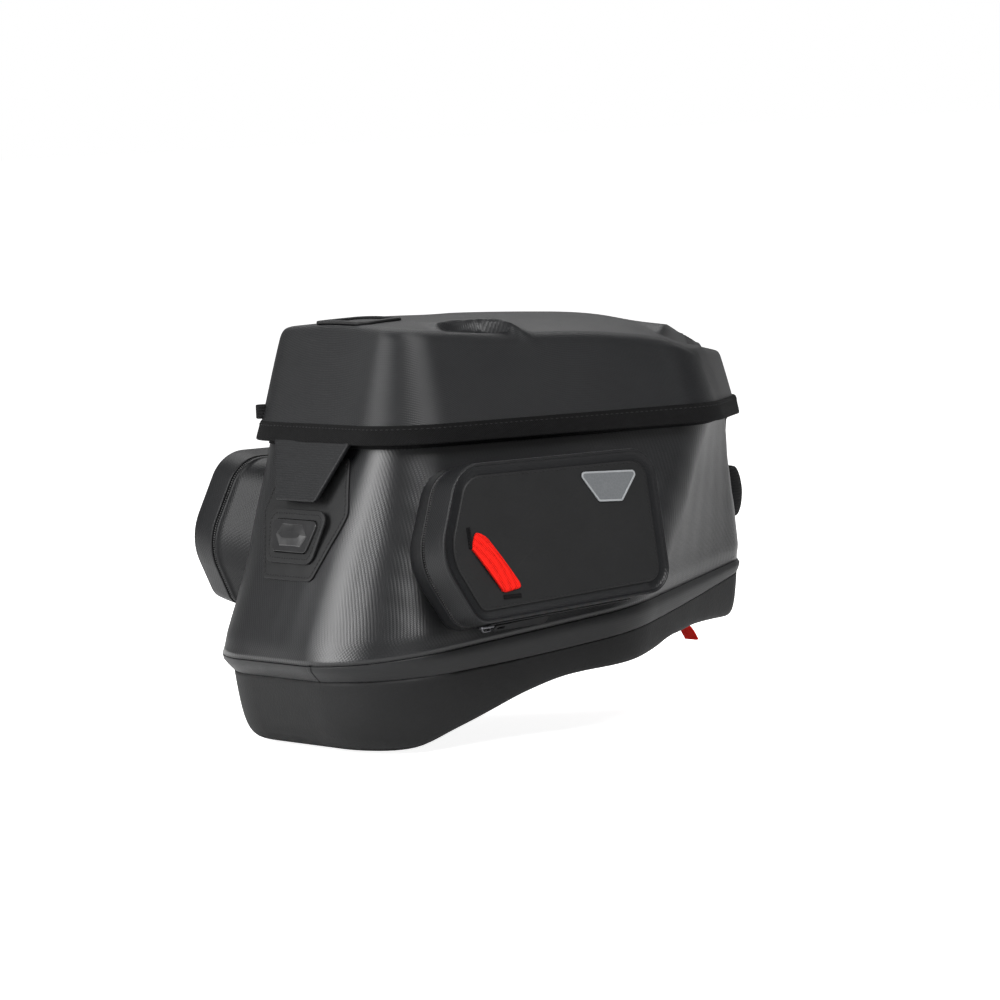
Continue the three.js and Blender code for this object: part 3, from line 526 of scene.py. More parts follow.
def beads(points, along, face, size):
    """A bead at each point, with its (along, side, face) half sizes."""
    side = unit(np.cross(face, along))
    face = unit(np.cross(along, side))
    parts = []
    for point, a, s, f in zip(points, along, side, face):
        axes = np.array([a * size[0], s * size[1], f * size[2]])
        vertices = point + BEAD_VERTICES @ axes
        weave = [[tuple(vertices[k][:2]) for k in corner] for corner in BEAD_FACES]
        parts.append((vertices, BEAD_FACES, weave))
    return join(parts)


STITCH = (1.5, 0.42, 0.34)
STITCH_PITCH = 4.2


def stitches(path, face, closed=False, pitch=STITCH_PITCH):
    """A row of stitches along a path; face is the outward direction at each of its points."""
    points, along = even_path(path, pitch, closed)
    nearest = [int(np.argmin(((path - p) ** 2).sum(axis=1))) for p in points]
    return beads(points, along, face[nearest], STITCH)


# ---- materials ----
class Shader:
    """A node material with one Principled shader, built step by step."""

    def __init__(self, name, slot, color, roughness, metallic=0.0, **sockets):
        self.material = bpy.data.materials.new(name)
        self.material["slot"] = slot
        self.material.use_nodes = True
        self.tree = self.material.node_tree
        self.surface = self.tree.nodes["Principled BSDF"]
        self.set(self.surface, "Base Color", (*color, 1))
        self.set(self.surface, "Roughness", roughness)
        self.set(self.surface, "Metallic", metallic)
        for socket, value in sockets.items():
            self.set(self.surface, socket.replace("_", " "), value)
        self.color = color
        self.roughness = roughness

    def set(self, node, socket, value):
        if isinstance(value, bpy.types.NodeSocket):
            self.tree.links.new(value, node.inputs[socket])
        else:
            node.inputs[socket].default_value = value

    def node(self, kind, settings=(), **sockets):
        node = self.tree.nodes.new("ShaderNode" + kind)
        for key, value in dict(settings).items():
            setattr(node, key, value)
        for socket, value in sockets.items():
            self.set(node, socket.replace("_", " "), value)
        return node

    def math(self, operation, a, b=0.0, c=0.0):
        node = self.node("Math", {"operation": operation})
        for socket, value in enumerate((a, b, c)):
            self.set(node, socket, value)
        return node.outputs[0]

    def weave_axes(self, angle=0.0):
        """The fabric's own two axes, in metres."""
        uv = self.node("UVMap", {"uv_map": "weave"})
        turned = self.node("Mapping", Vector=uv.outputs[0])
        turned.inputs["Rotation"].default_value = (0, 0, math.radians(angle))
        split = self.node("SeparateXYZ", Vector=turned.outputs[0])
        return split.outputs[0], split.outputs[1]

    def place(self):
        return self.node("TexCoord").outputs["Object"]

    def noise(self, scale, detail=4.0, roughness=0.55):
        noise = self.node("TexNoise", Vector=self.place(), Scale=scale, Detail=detail,
                          Roughness=roughness)
        return noise.outputs["Fac"]

    def ribs(self, axis, pitch):
        """Rounded ridges a pitch apart along one axis, from 0 to 1."""
        return self.math("ABSOLUTE", self.math("SINE", self.math("MULTIPLY", axis, math.pi / pitch)))

    def weave(self, u, v, pitch):
        """Crossing ribs, as high as 1 where both are at their top."""
        return self.math("MULTIPLY", self.ribs(u, pitch), self.ribs(v, pitch))

    def ranged(self, value, low, high, from_low=0.0, from_high=1.0):
        node = self.node("MapRange", Value=value)
        for socket, number in zip(("From Min", "From Max", "To Min", "To Max"),
                                  (from_low, from_high, low, high)):
            node.inputs[socket].default_value = number
        return node.outputs[0]

    def tint(self, share, color):
        """Mixes another colour in where share is high."""
        mix = self.node("Mix", {"data_type": "RGBA"})
        self.set(mix, 0, share)
        before = self.surface.inputs["Base Color"]
        if before.links:
            self.set(mix, 6, before.links[0].from_socket)
        else:
            mix.inputs[6].default_value = (*self.color, 1)
        mix.inputs[7].default_value = (*color, 1)
        self.set(self.surface, "Base Color", mix.outputs[2])

    def mottle(self, scale, most, start, color):
        """Mixes another colour in, by up to a share, in soft patches of noise."""
        self.tint(self.ranged(self.noise(scale), 0, most, start, 0.7), color)

    def rough(self, scale, spread):
        """Varies the roughness either side of its set value."""
        low = self.roughness - spread / 2
        self.set(self.surface, "Roughness", self.ranged(self.noise(scale), low, low + spread))

    def bump(self, height, depth, strength=1.0):
        """Adds relief of a depth in millimetres; several calls add up."""
        node = self.node("Bump", Height=height, Strength=strength, Distance=depth * MM)
        before = self.surface.inputs["Normal"]
        if before.links:
            self.set(node, "Normal", before.links[0].from_socket)
        self.set(self.surface, "Normal", node.outputs[0])

    def wear(self, color, amount=0.5):
        """Rubbed convex edges, broken up by noise."""
        sharp = self.ranged(self.node("NewGeometry").outputs["Pointiness"], 0, 1, 0.52, 0.60)
        patchy = self.ranged(self.noise(60), 0, amount, 0.4, 0.7)
        self.tint(self.math("MULTIPLY", sharp, patchy), color)


def embossed_lid():
    """Matte laminate with a fine square grid pressed into it."""
    s = Shader("lid_fabric", "lid_fabric", (0.0046, 0.0048, 0.0054), 0.44, Specular_IOR_Level=0.26)
    u, v = s.weave_axes()
    grid = s.weave(u, v, 0.0017)
    s.bump(grid, 0.12, 0.9)
    s.bump(s.noise(900, 2), 0.05, 0.5)
    s.mottle(14, 0.5, 0.35, (0.0066, 0.0069, 0.0076))
    s.rough(40, 0.10)
    s.wear((0.03, 0.03, 0.032), 0.25)
    return s.material


def coated_fabric(name, roughness, level):
    """Coated fabric: a fine diagonal weave shows through a satin film."""
    color = (0.0048, 0.0050, 0.0056)
    s = Shader(name, "body_fabric", color, roughness, Specular_IOR_Level=level)
    u, v = s.weave_axes(45)
    grain = s.weave(u, v, 0.0020)
    s.bump(grain, 0.10, 0.9)
    s.bump(s.noise(22, 1), 0.6, 0.3)
    s.mottle(9, 0.5, 0.4, (0.0064, 0.0066, 0.0072))
    s.rough(55, 0.05)
    return s.material


def welded_band():
    """The pressed weld between body and base: flatter and a little lighter."""
    color = (0.0055, 0.0057, 0.0062)
    s = Shader("weld_fabric", "body_fabric", color, 0.45, Specular_IOR_Level=0.3)
    u, v = s.weave_axes()
    s.bump(s.weave(u, v, 0.0016), 0.05, 0.7)
    s.mottle(30, 0.5, 0.4, (0.0078, 0.0080, 0.0086))
    s.rough(70, 0.12)
    return s.material


def lining():
    """The grey woven lining inside the bag."""
    s = Shader("lining", "body_fabric", (0.085, 0.087, 0.092), 0.85)
    u, v = s.weave_axes()
    s.bump(s.weave(u, v, 0.0009), 0.12)
    s.mottle(25, 0.5, 0.4, (0.11, 0.112, 0.118))
    return s.material


def foam_base():
    """Moulded foam with a fine pebbled skin."""
    s = Shader("tray_foam", "tray_foam", (0.0062, 0.0063, 0.0066), 0.62, Specular_IOR_Level=0.2)
    pebble = s.node("TexVoronoi", {"feature": "SMOOTH_F1"}, Vector=s.place(), Scale=700)
    s.bump(pebble.outputs["Distance"], 0.25, 0.5)
    s.bump(s.noise(35, 3), 0.5, 0.3)
    s.mottle(16, 0.6, 0.4, (0.0084, 0.0085, 0.0088))
    s.rough(50, 0.10)
    s.wear((0.04, 0.04, 0.041), 0.35)
    return s.material


def ribbed_webbing(name, slot, color, pitch, across=False, roughness=0.8, light=1.8):
    """Woven tape: ridges across or along it, with threads between them."""
    s = Shader(name, slot, color, roughness, Specular_IOR_Level=0.12)
    along, side = s.weave_axes()
    ridge = s.ribs(along if across else side, pitch)
    thread = s.ribs(side if across else along, pitch * 0.55)
    s.bump(ridge, 0.35)
    s.bump(thread, 0.10, 0.6)
    # Painted shade: the valleys between the ridges are tinted darker, towards a third of the colour.
    s.tint(s.ranged(ridge, 0.9, 0, 0, 0.8), tuple(c * 0.35 for c in color))
    s.tint(s.ranged(s.noise(120), 0, 0.5, 0.45, 0.75), tuple(min(c * light, 1) for c in color))
    return s.material


def soft_panel():
    """A matte pressed panel with a fine leather-like grain."""
    color = (0.0048, 0.0049, 0.0052)
    s = Shader("panel_fabric", "panel_fabric", color, 0.55, Specular_IOR_Level=0.26)
    grain = s.node("TexVoronoi", {"feature": "SMOOTH_F1"}, Vector=s.place(), Scale=1100)
    s.bump(grain.outputs["Distance"], 0.12, 0.5)
    s.bump(s.noise(28, 3), 0.7, 0.25)
    s.mottle(18, 0.6, 0.4, (0.0066, 0.0067, 0.0070))
    s.rough(60, 0.12)
    s.wear((0.04, 0.04, 0.041), 0.3)
    return s.material


def moulded_plastic(name, roughness, level):
    color = (0.0065, 0.0065, 0.007)
    s = Shader(name, "black_plastic", color, roughness, Specular_IOR_Level=level)
    s.bump(s.noise(1400, 2), 0.08, 0.5)
    s.mottle(40, 0.5, 0.4, (0.0100, 0.0100, 0.0106))
    s.rough(90, 0.14)
    s.wear((0.06, 0.06, 0.06), 0.5)
    return s.material


def reflective_film():
    """Retro-reflective film with a honeycomb pressed under its gloss."""
    s = Shader("reflective", "reflective", (0.098, 0.103, 0.108), 0.40, 0.2)
    cells = s.node("TexVoronoi", {"feature": "DISTANCE_TO_EDGE"}, Vector=s.place(), Scale=420)
    s.tint(s.ranged(cells.outputs["Distance"], 0.7, 0, 0, 0.12), (0.125, 0.130, 0.135))
    s.bump(cells.outputs["Distance"], 0.05, 0.4)
    s.rough(60, 0.15)
    return s.material


def reflective_border():
    s = Shader("reflective_border", "reflective", (0.20, 0.207, 0.214), 0.42)
    s.mottle(90, 0.5, 0.4, (0.16, 0.166, 0.172))
    s.bump(s.noise(500, 2), 0.05, 0.5)
    return s.material


def brushed_steel(name, color):
    s = Shader(name, "steel", color, 0.32, 1.0)
    s.bump(s.noise(1200, 2), 0.03, 0.5)
    s.mottle(150, 0.5, 0.4, tuple(c * 0.65 for c in color))
    s.rough(200, 0.2)
    return s.material


def open_net():
    """A knitted net: threads round open cells."""
    s = Shader("mesh_net", "mesh_net", (0.03, 0.03, 0.032), 0.8)
    u, v = s.weave_axes(45)
    open_cell = s.weave(u, v, 0.0032)
    s.set(s.surface, "Alpha", s.ranged(open_cell, 1, 0, 0.30, 0.42))
    s.mottle(200, 0.6, 0.4, (0.05, 0.05, 0.052))
    s.bump(open_cell, -0.3)
    return s.material


def sewing_thread(name, slot, color):
    s = Shader(name, slot, color, 0.7, Specular_IOR_Level=0.1)
    twist = s.node("TexWave", Vector=s.place(), Scale=900, Distortion=1)
    s.bump(twist.outputs["Fac"], 0.05, 0.6)
    s.mottle(300, 0.5, 0.4, tuple(c * 0.6 for c in color))
    return s.material


LID_FABRIC = embossed_lid()
BODY_FABRIC = coated_fabric("body_fabric", 0.31, 0.5)
POCKET_FABRIC = coated_fabric("pocket_fabric", 0.40, 0.2)
WELD_FABRIC = welded_band()
LINING = lining()
TRAY_FOAM = foam_base()
BINDING = ribbed_webbing("binding", "webbing", (0.0024, 0.0024, 0.0026), 0.0019, across=True)
WEBBING = ribbed_webbing("webbing", "webbing", (0.0042, 0.0042, 0.0046), 0.0022)
ZIP_TAPE = ribbed_webbing("zip_tape", "webbing", (0.004, 0.004, 0.0044), 0.0011, across=True)
RED_WEBBING = ribbed_webbing("red_webbing", "red_webbing", (0.70, 0.010, 0.005), 0.0015, light=1.1)
PANEL_FABRIC = soft_panel()
BLACK_PLASTIC = moulded_plastic("black_plastic", 0.32, 0.5)
PULLER_RUBBER = moulded_plastic("puller_rubber", 0.55, 0.12)
REFLECTIVE = reflective_film()
REFLECTIVE_BORDER = reflective_border()
STEEL = brushed_steel("steel", (0.42, 0.42, 0.43))
SLIDER_STEEL = brushed_steel("slider_steel", (0.15, 0.15, 0.16))
MESH_NET = open_net()
THREAD = sewing_thread("thread", "webbing", (0.017, 0.017, 0.0175))
RED_THREAD = sewing_thread("red_thread", "red_webbing", (0.55, 0.02, 0.01))


# ---- body ----
LID_RIM = plan_outline(LID_CORNERS)
BODY_TOP = offset_outline(LID_RIM, -OVERHANG)
LEDGE_LINE = plan_outline(LEDGE_CORNERS)
SEAM_LINE = plan_outline(SEAM_CORNERS)


def ledge_height(x):
    return -LEDGE_FALL + LEDGE_SLOPE * x


def seam_height(x):
    return -SEAM_FALL + SEAM_SLOPE * x + SEAM_CURVE * x**2


def softness(wall, heights, t):
    """Slow swells of the soft wall, which fade out at its welded edges."""
    x, y = wall.T
    swell = 0.8 * np.sin(x / 31 + heights / 23) * np.cos(y / 37 - heights / 41)
    swell += 0.4 * np.sin(x / 17 - heights / 29 + 1)
    swell += 0.22 * np.sin(x / 5.5 + y / 7 + heights / 9) * np.sin(heights / 6.5 - y / 8)
    return swell * math.sin(math.pi * t) ** 0.7


def body_ring(t, grow=0.0):
    """The wall's outline at a share t of its depth, moved out by grow."""
    wall = lerp(BODY_TOP, LEDGE_LINE, 0.8 * t + 0.2 * t**4)
    bulge = np.maximum(0, 1 - (wall[:, 1] / BULGE_HALF) ** 2) * (wall[:, 0] < -100)
    wall[:, 0] -= REAR_BULGE * (t - t**4) * bulge
    heights = lerp(TOP_EDGE, ledge_height(wall[:, 0]), t)
    rounding = 1.8 * smoothstep(t, 0.9, 1)
    outline = offset_outline(wall, grow + softness(wall, heights, t) - rounding)
    return at_height(outline, lerp(TOP_EDGE, ledge_height(outline[:, 0]), t))


def line_inside(obj, material, first_band, last_band, ring_size):
    """Gives the faces of some bands of a skin another material."""
    obj.data.materials.append(material)
    for polygon in obj.data.polygons[first_band * ring_size:last_band * ring_size]:
        polygon.material_index = 1


BODY_LEVELS = np.linspace(0, 1, 41)
BODY_WALL = np.array([body_ring(t) for t in BODY_LEVELS])
PLAN_SIZE = len(LID_RIM)


def make_body():
    inner = [body_ring(t, -SKIN) for t in BODY_LEVELS[::-3]]
    rings = [*BODY_WALL, *inner]
    body = make("body_fabric_shell", skin(rings, wrapped=True), BODY_FABRIC, "bag", ["body_shell"])
    line_inside(body, LINING, len(BODY_WALL), len(rings) - 1, PLAN_SIZE)


def wall_tree(rings):
    vertices = [Vector(v) for v in rings.reshape(-1, 3)]
    return BVHTree.FromPolygons(vertices, skin_faces(len(rings), rings.shape[1], False))


BODY_TREE = wall_tree(BODY_WALL)


def drape(starts, direction, lifts):
    """Points moved along a direction on to the body's wall, and then off it by their lifts."""
    direction = Vector(direction)
    draped = []
    for start, lift in zip(starts, lifts):
        hit, normal, _, _ = BODY_TREE.ray_cast(Vector(start), direction)
        facing = -1 if normal.dot(direction) > 0 else 1
        draped.append(np.array(hit) + np.array(normal) * lift * facing)
    return np.array(draped)


OUTSIDE = 300.0


def on_end(points, end):
    """Places (y, z, lift) on the end wall on one side of x = 0: -1 rear, 1 front."""
    starts = np.column_stack([np.full(len(points), end * OUTSIDE), points[:, 0], points[:, 1]])
    return drape(starts, (-end, 0, 0), points[:, 2])


def on_rear(points):
    return on_end(points, -1)


def on_front(points):
    return on_end(points, 1)


def weld_ring(share, grow=0.0):
    outline = lerp(LEDGE_LINE, SEAM_LINE, share)
    heights = lerp(ledge_height(outline[:, 0]) - 0.2, seam_height(outline[:, 0]) + 0.2, share)
    swell = 0.9 * math.sin(math.pi * share) ** 0.5 - 1.6 * (1 - smoothstep(share, 0, 0.35))
    return at_height(offset_outline(outline, grow + swell), heights)


def make_weld_band():
    outer = [weld_ring(share) for share in (0, 0.04, 0.12, 0.3, 0.5, 0.7, 0.88, 0.96, 1)]
    inner = [weld_ring(share, -SKIN) for share in (1, 0.5, 0)]
    make("weld_band_strip", skin(outer + inner, wrapped=True), WELD_FABRIC, "bag", ["weld_band"])
    # The strip's two ends overlap on the rear wall.
    at = int(np.argmin(((LEDGE_LINE - np.array([-212, -48])) ** 2).sum(axis=1)))
    path = np.array([ring[at] for ring in outer])
    ahead = unit(outer[4][at + 1] - outer[4][at - 1])
    out = alike(flat_outward(LEDGE_LINE)[at], path)
    lap = band(path, alike(ahead, path), out, flat_section(4, 1.0))
    make("weld_band_lap", lap, WELD_FABRIC, "bag")


# ---- base tray ----
TRAY_MIDDLE = np.array([-20.0, 0.0])
SEAT_RADIUS = RING_RADIUS + 6
BOSS_RADIUS = 60


def underside(x, y):
    edge = smooth_line(UNDERSIDE, x)
    half = SADDLE_HALF - SADDLE_NARROWING * smoothstep(x, 50, 140)
    across = np.maximum(0, 1 - (y / half) ** 2)
    lengthwise = smoothstep(x, -165, -100) * (1 - smoothstep(x, 95, 155))
    return edge + SADDLE_RISE * across * lengthwise


def tray_rings(thickness, levels):
    insets, shares = smooth_path(TRAY_PROFILE, levels).T
    rings = []
    for inset, share in zip(insets, shares):
        x = SEAM_LINE[:, 0]
        inward = inset * (1 - 0.5 * smoothstep(x, -160, 0)) + thickness
        outline = offset_outline(SEAM_LINE, -inward)
        floor = underside(outline[:, 0], outline[:, 1]) + thickness
        rings.append(at_height(outline, lerp(seam_height(outline[:, 0]), floor, share)))
    edge = rings[-1][:, :2]
    for shrink in np.linspace(0.93, 0.04, TRAY_FLOOR_RINGS):
        outline = lerp(TRAY_MIDDLE, edge, shrink)
        rings.append(at_height(outline, underside(*outline.T) + thickness))
    return rings


def ring_place(points):
    """Places points of the tank ring's frame; the ring tilts up towards the front."""
    c, s = math.cos(RING_TILT), math.sin(RING_TILT)
    return placed(points, (RING_X, 0, RING_Z), (c, 0, s), (0, 1, 0), (-s, 0, c))


def on_circle(radius, bearings):
    return [(radius * math.cos(a), radius * math.sin(a)) for a in np.radians(bearings)]


SCREW_PLACES = on_circle(SCREW_CIRCLE, [45, 135, 225, 315])
MAGNET_PLACES = on_circle(MAGNET_CIRCLE, [90, 180, 270])


def make_tray():
    outer = tray_rings(0, 4)[::-1]
    inner = tray_rings(TRAY_WALL, 2)
    rings = outer + inner
    shape = lay_flat(skin(rings), np.array, 0, TRAY_FLOOR_RINGS * PLAN_SIZE)
    tray = make("base_tray_foam", shape, TRAY_FOAM, None, ["base_tray"])
    line_inside(tray, LINING, len(outer), len(rings) - 1, PLAN_SIZE)
    seat = [[0, -20], [SEAT_RADIUS, -20], [SEAT_RADIUS, RING_HEIGHT], [0, RING_HEIGHT]]
    carve(tray, [lathe(seat, ring_place, 96)])
    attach(tray, "bag")
    boss = [[0, RING_HEIGHT + 0.3], [BOSS_RADIUS - 1, RING_HEIGHT + 0.3],
            [BOSS_RADIUS, RING_HEIGHT + 1.5], [BOSS_RADIUS, BOSS_TOP - 1.5],
            [BOSS_RADIUS - 1.5, BOSS_TOP], [0, BOSS_TOP]]
    make("base_tray_boss", lathe(boss, ring_place, 96), TRAY_FOAM, "bag", sharp=40)


# ---- lid ----
# Half the width of the lid's raised hood; the ledge beside it is at shoulder height.
HOOD_HALF = [
    [-180, 100], [-116, 92], [-104, 69], [-72, 69], [-38, 92], [50, 96], [88, 76], [135, 42],
    [170, 20],
]


def lid_top(x, y):
    crest = smooth_line(LID_CREST, x)
    shoulder = smooth_line(LID_SHOULDER, x)
    plain = crest + (shoulder - crest) * np.minimum(1, (y / SHOULDER_Y) ** 2)
    hood = smooth_line(HOOD_HALF, x)
    side = smoothstep(np.abs(y), hood - 3.5, hood + 1.5)
    top = crest - 1 - 3 * (y / SHOULDER_Y) ** 2
    floor = np.minimum(plain, lerp(crest, shoulder, 0.78))
    stepped = lerp(top, floor, side)
    rear = smoothstep(x, -112, -104) * (1 - smoothstep(x, -60, -36))
    front = smoothstep(x, 76, 100)
    return lerp(plain, stepped, np.maximum(rear, front))


def lid_lean(x):
    """The lid's wall leans less at the front."""
    return 1 - 0.45 * smoothstep(x, 60, 160)


def lid_wall(thickness, levels):
    rings = []
    insets, shares = smooth_path(LID_PROFILE, levels).T
    for inset, share in zip(insets, shares):
        inward = inset * lid_lean(LID_RIM[:, 0]) + thickness
        outline = offset_outline(LID_RIM, -inward)
        rings.append(at_height(outline, lerp(LID_FOOT, lid_top(*outline.T) - thickness, share)))
    edge = rings[-1][:, :2]
    for shrink in np.linspace(0.985, 0.03, LID_TOP_RINGS):
        outline = edge * shrink
        rings.append(at_height(outline, lid_top(*outline.T) - thickness))
    return rings


def make_lid():
    outer = lid_wall(0, 5)[::-1]
    inner = lid_wall(LID_WALL, 2)
    rings = outer + inner
    shape = lay_flat(skin(rings), np.array, 0, LID_TOP_RINGS * PLAN_SIZE)
    lid = make("lid_moulded_shell", shape, LID_FABRIC, "lid", ["lid_shell"])
    line_inside(lid, LINING, len(outer), len(rings) - 1, PLAN_SIZE)


def rim_path(offset, height):
    return at_height(offset_outline(LID_RIM, offset), height)


RIM_OUT = flat_outward(LID_RIM)


# [out, up] round the tape folded over the lid's rim
BINDING_SECTION = [
    [0.3, -0.8], [1.1, -0.7], [1.5, 0.1], [1.6, 3], [1.5, 6.5], [1.5, 10], [1.3, 12], [0.7, 12.8],
    [-0.2, 12.6], [-0.8, 11], [-0.8, 6], [-0.5, 0.4],
]


def binding_line(out, up):
    """A line round the lid's wall at a height above its rim."""
    lean = LID_PROFILE[1][0] / (LID_PROFILE[1][1] * LID_SIDE_HEIGHT)
    waviness = 0.15 * np.sin(np.arange(PLAN_SIZE) / 5.1) + 0.1 * np.sin(np.arange(PLAN_SIZE) / 2.3)
    inward = lean * max(up, 0) * lid_lean(LID_RIM[:, 0])
    return rim_path(out + waviness - inward, up)


def make_binding():
    rings = [binding_line(out, up) for out, up in smooth_path(BINDING_SECTION, 2, closed=True)]
    make("lid_binding_tape", skin(rings, wrapped=True), BINDING, "lid", ["lid_binding"])
    make("lid_binding_stitches", stitches(binding_line(1.55, 10.2), RIM_OUT, closed=True), THREAD,
         "lid")


FRONT_OF_ZIP = 138
LID_HINGE_X = 166


def zip_run(outline, height):
    """The part of an outline that the zip follows, from left front to right front."""
    follow = outline[:, 0] < FRONT_OF_ZIP
    return at_height(outline[follow], height), flat_outward(outline)[follow]


TOOTH = (0.55, 1.4, 0.55)
TOOTH_PITCH = 1.7


def make_zip_teeth(name, line, body):
    points, along = even_path(line, TOOTH_PITCH)
    make(name, beads(points, along, alike(UP, points), TOOTH), BLACK_PLASTIC, body)


def make_lid_zip():
    tape, out = zip_run(offset_outline(LID_RIM, -11.7), 1.3)
    strip = band(tape, out, alike(UP, tape), flat_section(11, 1.3))
    make("lid_zip_tape_strip", strip, ZIP_TAPE, "lid", ["lid_zip_tape"])
    line, _ = zip_run(offset_outline(LID_RIM, -7.4), 0.2)
    make_zip_teeth("lid_zip_teeth", line, "lid")


def make_body_zip():
    levels = np.linspace(0.004, 0.020, 5)
    outer = np.array([body_ring(t, 0.9) for t in levels])
    inner = np.array([body_ring(t, 0.1) for t in levels[::-1]])
    rings = np.concatenate([outer, inner])
    follow = rings[0, :, 0] < FRONT_OF_ZIP
    sections = rings[:, follow].transpose(1, 0, 2)
    make("body_zip_tape_strip", skin(sections, along_rings=True), ZIP_TAPE, "bag",
         ["body_zip_tape"])
    line, _ = zip_run(offset_outline(BODY_TOP, 0.9), -0.9)
    make_zip_teeth("body_zip_teeth", line, "bag")


def make_hinge_strip():
    at_front = (BODY_TOP[:, 0] > 120) & (np.abs(BODY_TOP[:, 1]) < 46)
    order = np.argsort(BODY_TOP[at_front][:, 1])
    path = at_height(BODY_TOP[at_front][order], 0)
    out = flat_outward(BODY_TOP)[at_front][order]
    section = [[0.6, -15], [1.9, -15], [2.1, -8], [2.2, -3.5], [3.6, -1.7], [6.6, -1.1],
               [6.6, -0.2], [3.0, -0.7], [0.8, -2.6], [0.6, -8]]
    strip = make("lid_hinge_fabric", band(path, out, alike(UP, path), section), BODY_FABRIC, None,
                 ["lid_hinge_strip"])
    hinge = in_frame([LID_HINGE_X, 0, 0])
    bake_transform(strip)


def on_lid(points):
    """Places (x, y, lift) on the lid's top."""
    return np.column_stack([points[:, :2], lid_top(points[:, 0], points[:, 1]) + points[:, 2]])


def make_top_panel():
    corners = [[-106, -27, 6], [-106, 27, 6], [-146, 34, 10], [-146, -34, 10]]
    outline = rounded_outline(corners, 10, 24)
    frame_shape = framed_plate(outline, offset_outline(outline, -5), 0.1, 2.1, 0.8, on_lid)
    make("lid_top_panel_frame", frame_shape, PANEL_FABRIC, "lid", ["lid_top_panel"])


# The net's back and face, and the middle of its hem, above the lid's rim.
NET_BACK = 24.4
NET_FACE = 24.9
HEM_HEIGHT = 24.6


def make_net():
    outline = rounded_outline([[112, -76, 20], [112, 76, 20], [-138, 84, 24], [-138, -84, 24]], 10, 20)
    net = plate(outline, NET_BACK, NET_FACE, 0.2, np.array, crown=1.5)
    piece = make("lid_net", net, MESH_NET, "lid", ["lid_mesh_pocket"])
    path = at_height(outline, HEM_HEIGHT)
    hem_shape = band(path, flat_outward(outline), alike(UP, path), flat_section(7, 1.4), closed=True)
    hem = make("lid_net_hem", hem_shape, WEBBING, "lid")


LOOP_BEARING = math.radians(145)
LOOP_RADIUS = 43.8


def make_side_loop():
    """A loop that stands out from the lid's left rear corner."""
    c, s = math.cos(LOOP_BEARING), math.sin(LOOP_BEARING)
    corner_x, corner_y, corner_radius = LID_CORNERS[3]
    centre = (corner_x + corner_radius + LOOP_RADIUS * c,
              corner_y - corner_radius + LOOP_RADIUS * s, BINDING_HEIGHT + 6)
    half = [[-1, -5.2], [2.6, -5.1], [5, -3.2], [5.7, 0]]
    path = smooth_path(half + [[x, -y] for x, y in half[-2::-1]], 5)
    flat = placed(np.column_stack([path, np.zeros(len(path))]), centre, (c, s, 0), (-s, c, 0), UP)
    ahead = unit(np.gradient(flat, axis=0))
    up = alike(UP, flat)
    loop = band(flat, up, np.cross(up, ahead), flat_section(10, 1.4))
    make("lid_side_loop_webbing", loop, WEBBING, "lid", ["lid_side_loop"])


# ---- rear closure ----
REARWARD = (-1, 0, 0.3)
FLAP_X = -169
FLAP_SLOPE = 0.4
ZIP_X = -165.3
ZIP_SLOPE = 0.32
LID_SLIDER_Y = 13
BADGE_X = -189.2
BADGE_Z = -65
BADGE_SLOPE = 0.308


def make_stitch_round(name, line, facing, pitch):
    """Stitches round a patch that is sewn to the bag."""
    make(name, stitches(line, alike(facing, line), closed=True, pitch=pitch), THREAD, "bag")


def rear_place(x, z, slope, shift=(0, 0)):
    """Places (across, up, out) points on a plane over the rear wall."""
    lean = math.atan(slope)
    up = np.array([math.sin(lean), 0, math.cos(lean)])
    out = np.array([-math.cos(lean), 0, math.sin(lean)])

    def place(points):
        moved = np.array(points, float) + np.array([*shift, 0])
        return placed(moved, (x, 0, z), (0, -1, 0), up, out)
    return place


def make_flap():
    place = rear_place(FLAP_X, -1.3, FLAP_SLOPE)
    outline = rounded_outline([[-48, 1.4, 1], [-25, -43, 5], [25, -43, 5], [48, 1.4, 1]], 8, 12)
    flap = make("rear_flap_tongue", plate(outline, 0, 2.8, 0.7, place), LID_FABRIC, None,
                ["rear_flap"])
    top = in_frame(place([[0, 1.4, 0]])[0])
    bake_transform(flap)
    pad = rounded_box((-19, -40), (19, -26), 3)
    make("flap_hook_tape", plate(pad, -2.2, 0.1, 0.2, place), ZIP_TAPE, "flap", ["flap_hook_pad"])


def make_rear_patch():
    corners = [[-40, -10], [-53, -50], [-31, -96], [31, -96], [53, -50], [40, -10]]
    outline = rounded_outline([[y, z, 7] for y, z in corners], 6, 10)
    patch = plate(outline, 0.1, 1.5, 0.5, on_rear)
    make("rear_patch_panel", patch, PANEL_FABRIC, "bag", ["rear_patch"])
    make_stitch_round("rear_patch_stitches", on_rear(at_height(offset_outline(outline, -2.6), 1.6)),
                      REARWARD, 3.4)
    pad = rounded_box((-19, -40), (19, -27), 3)
    make("flap_loop_tape", plate(pad, 1.5, 3.0, 0.2, on_rear), ZIP_TAPE, "bag", ["flap_loop_pad"])


BADGE_BORDER = 7.5


def badge_outline(inset, radius=6):
    corners = [[-38, 19], [-29, -20], [29, -20], [38, 19]]
    return rounded_outline([
        [u - math.copysign(inset, u), v - math.copysign(inset, v), radius] for u, v in corners
    ], 8, 12)


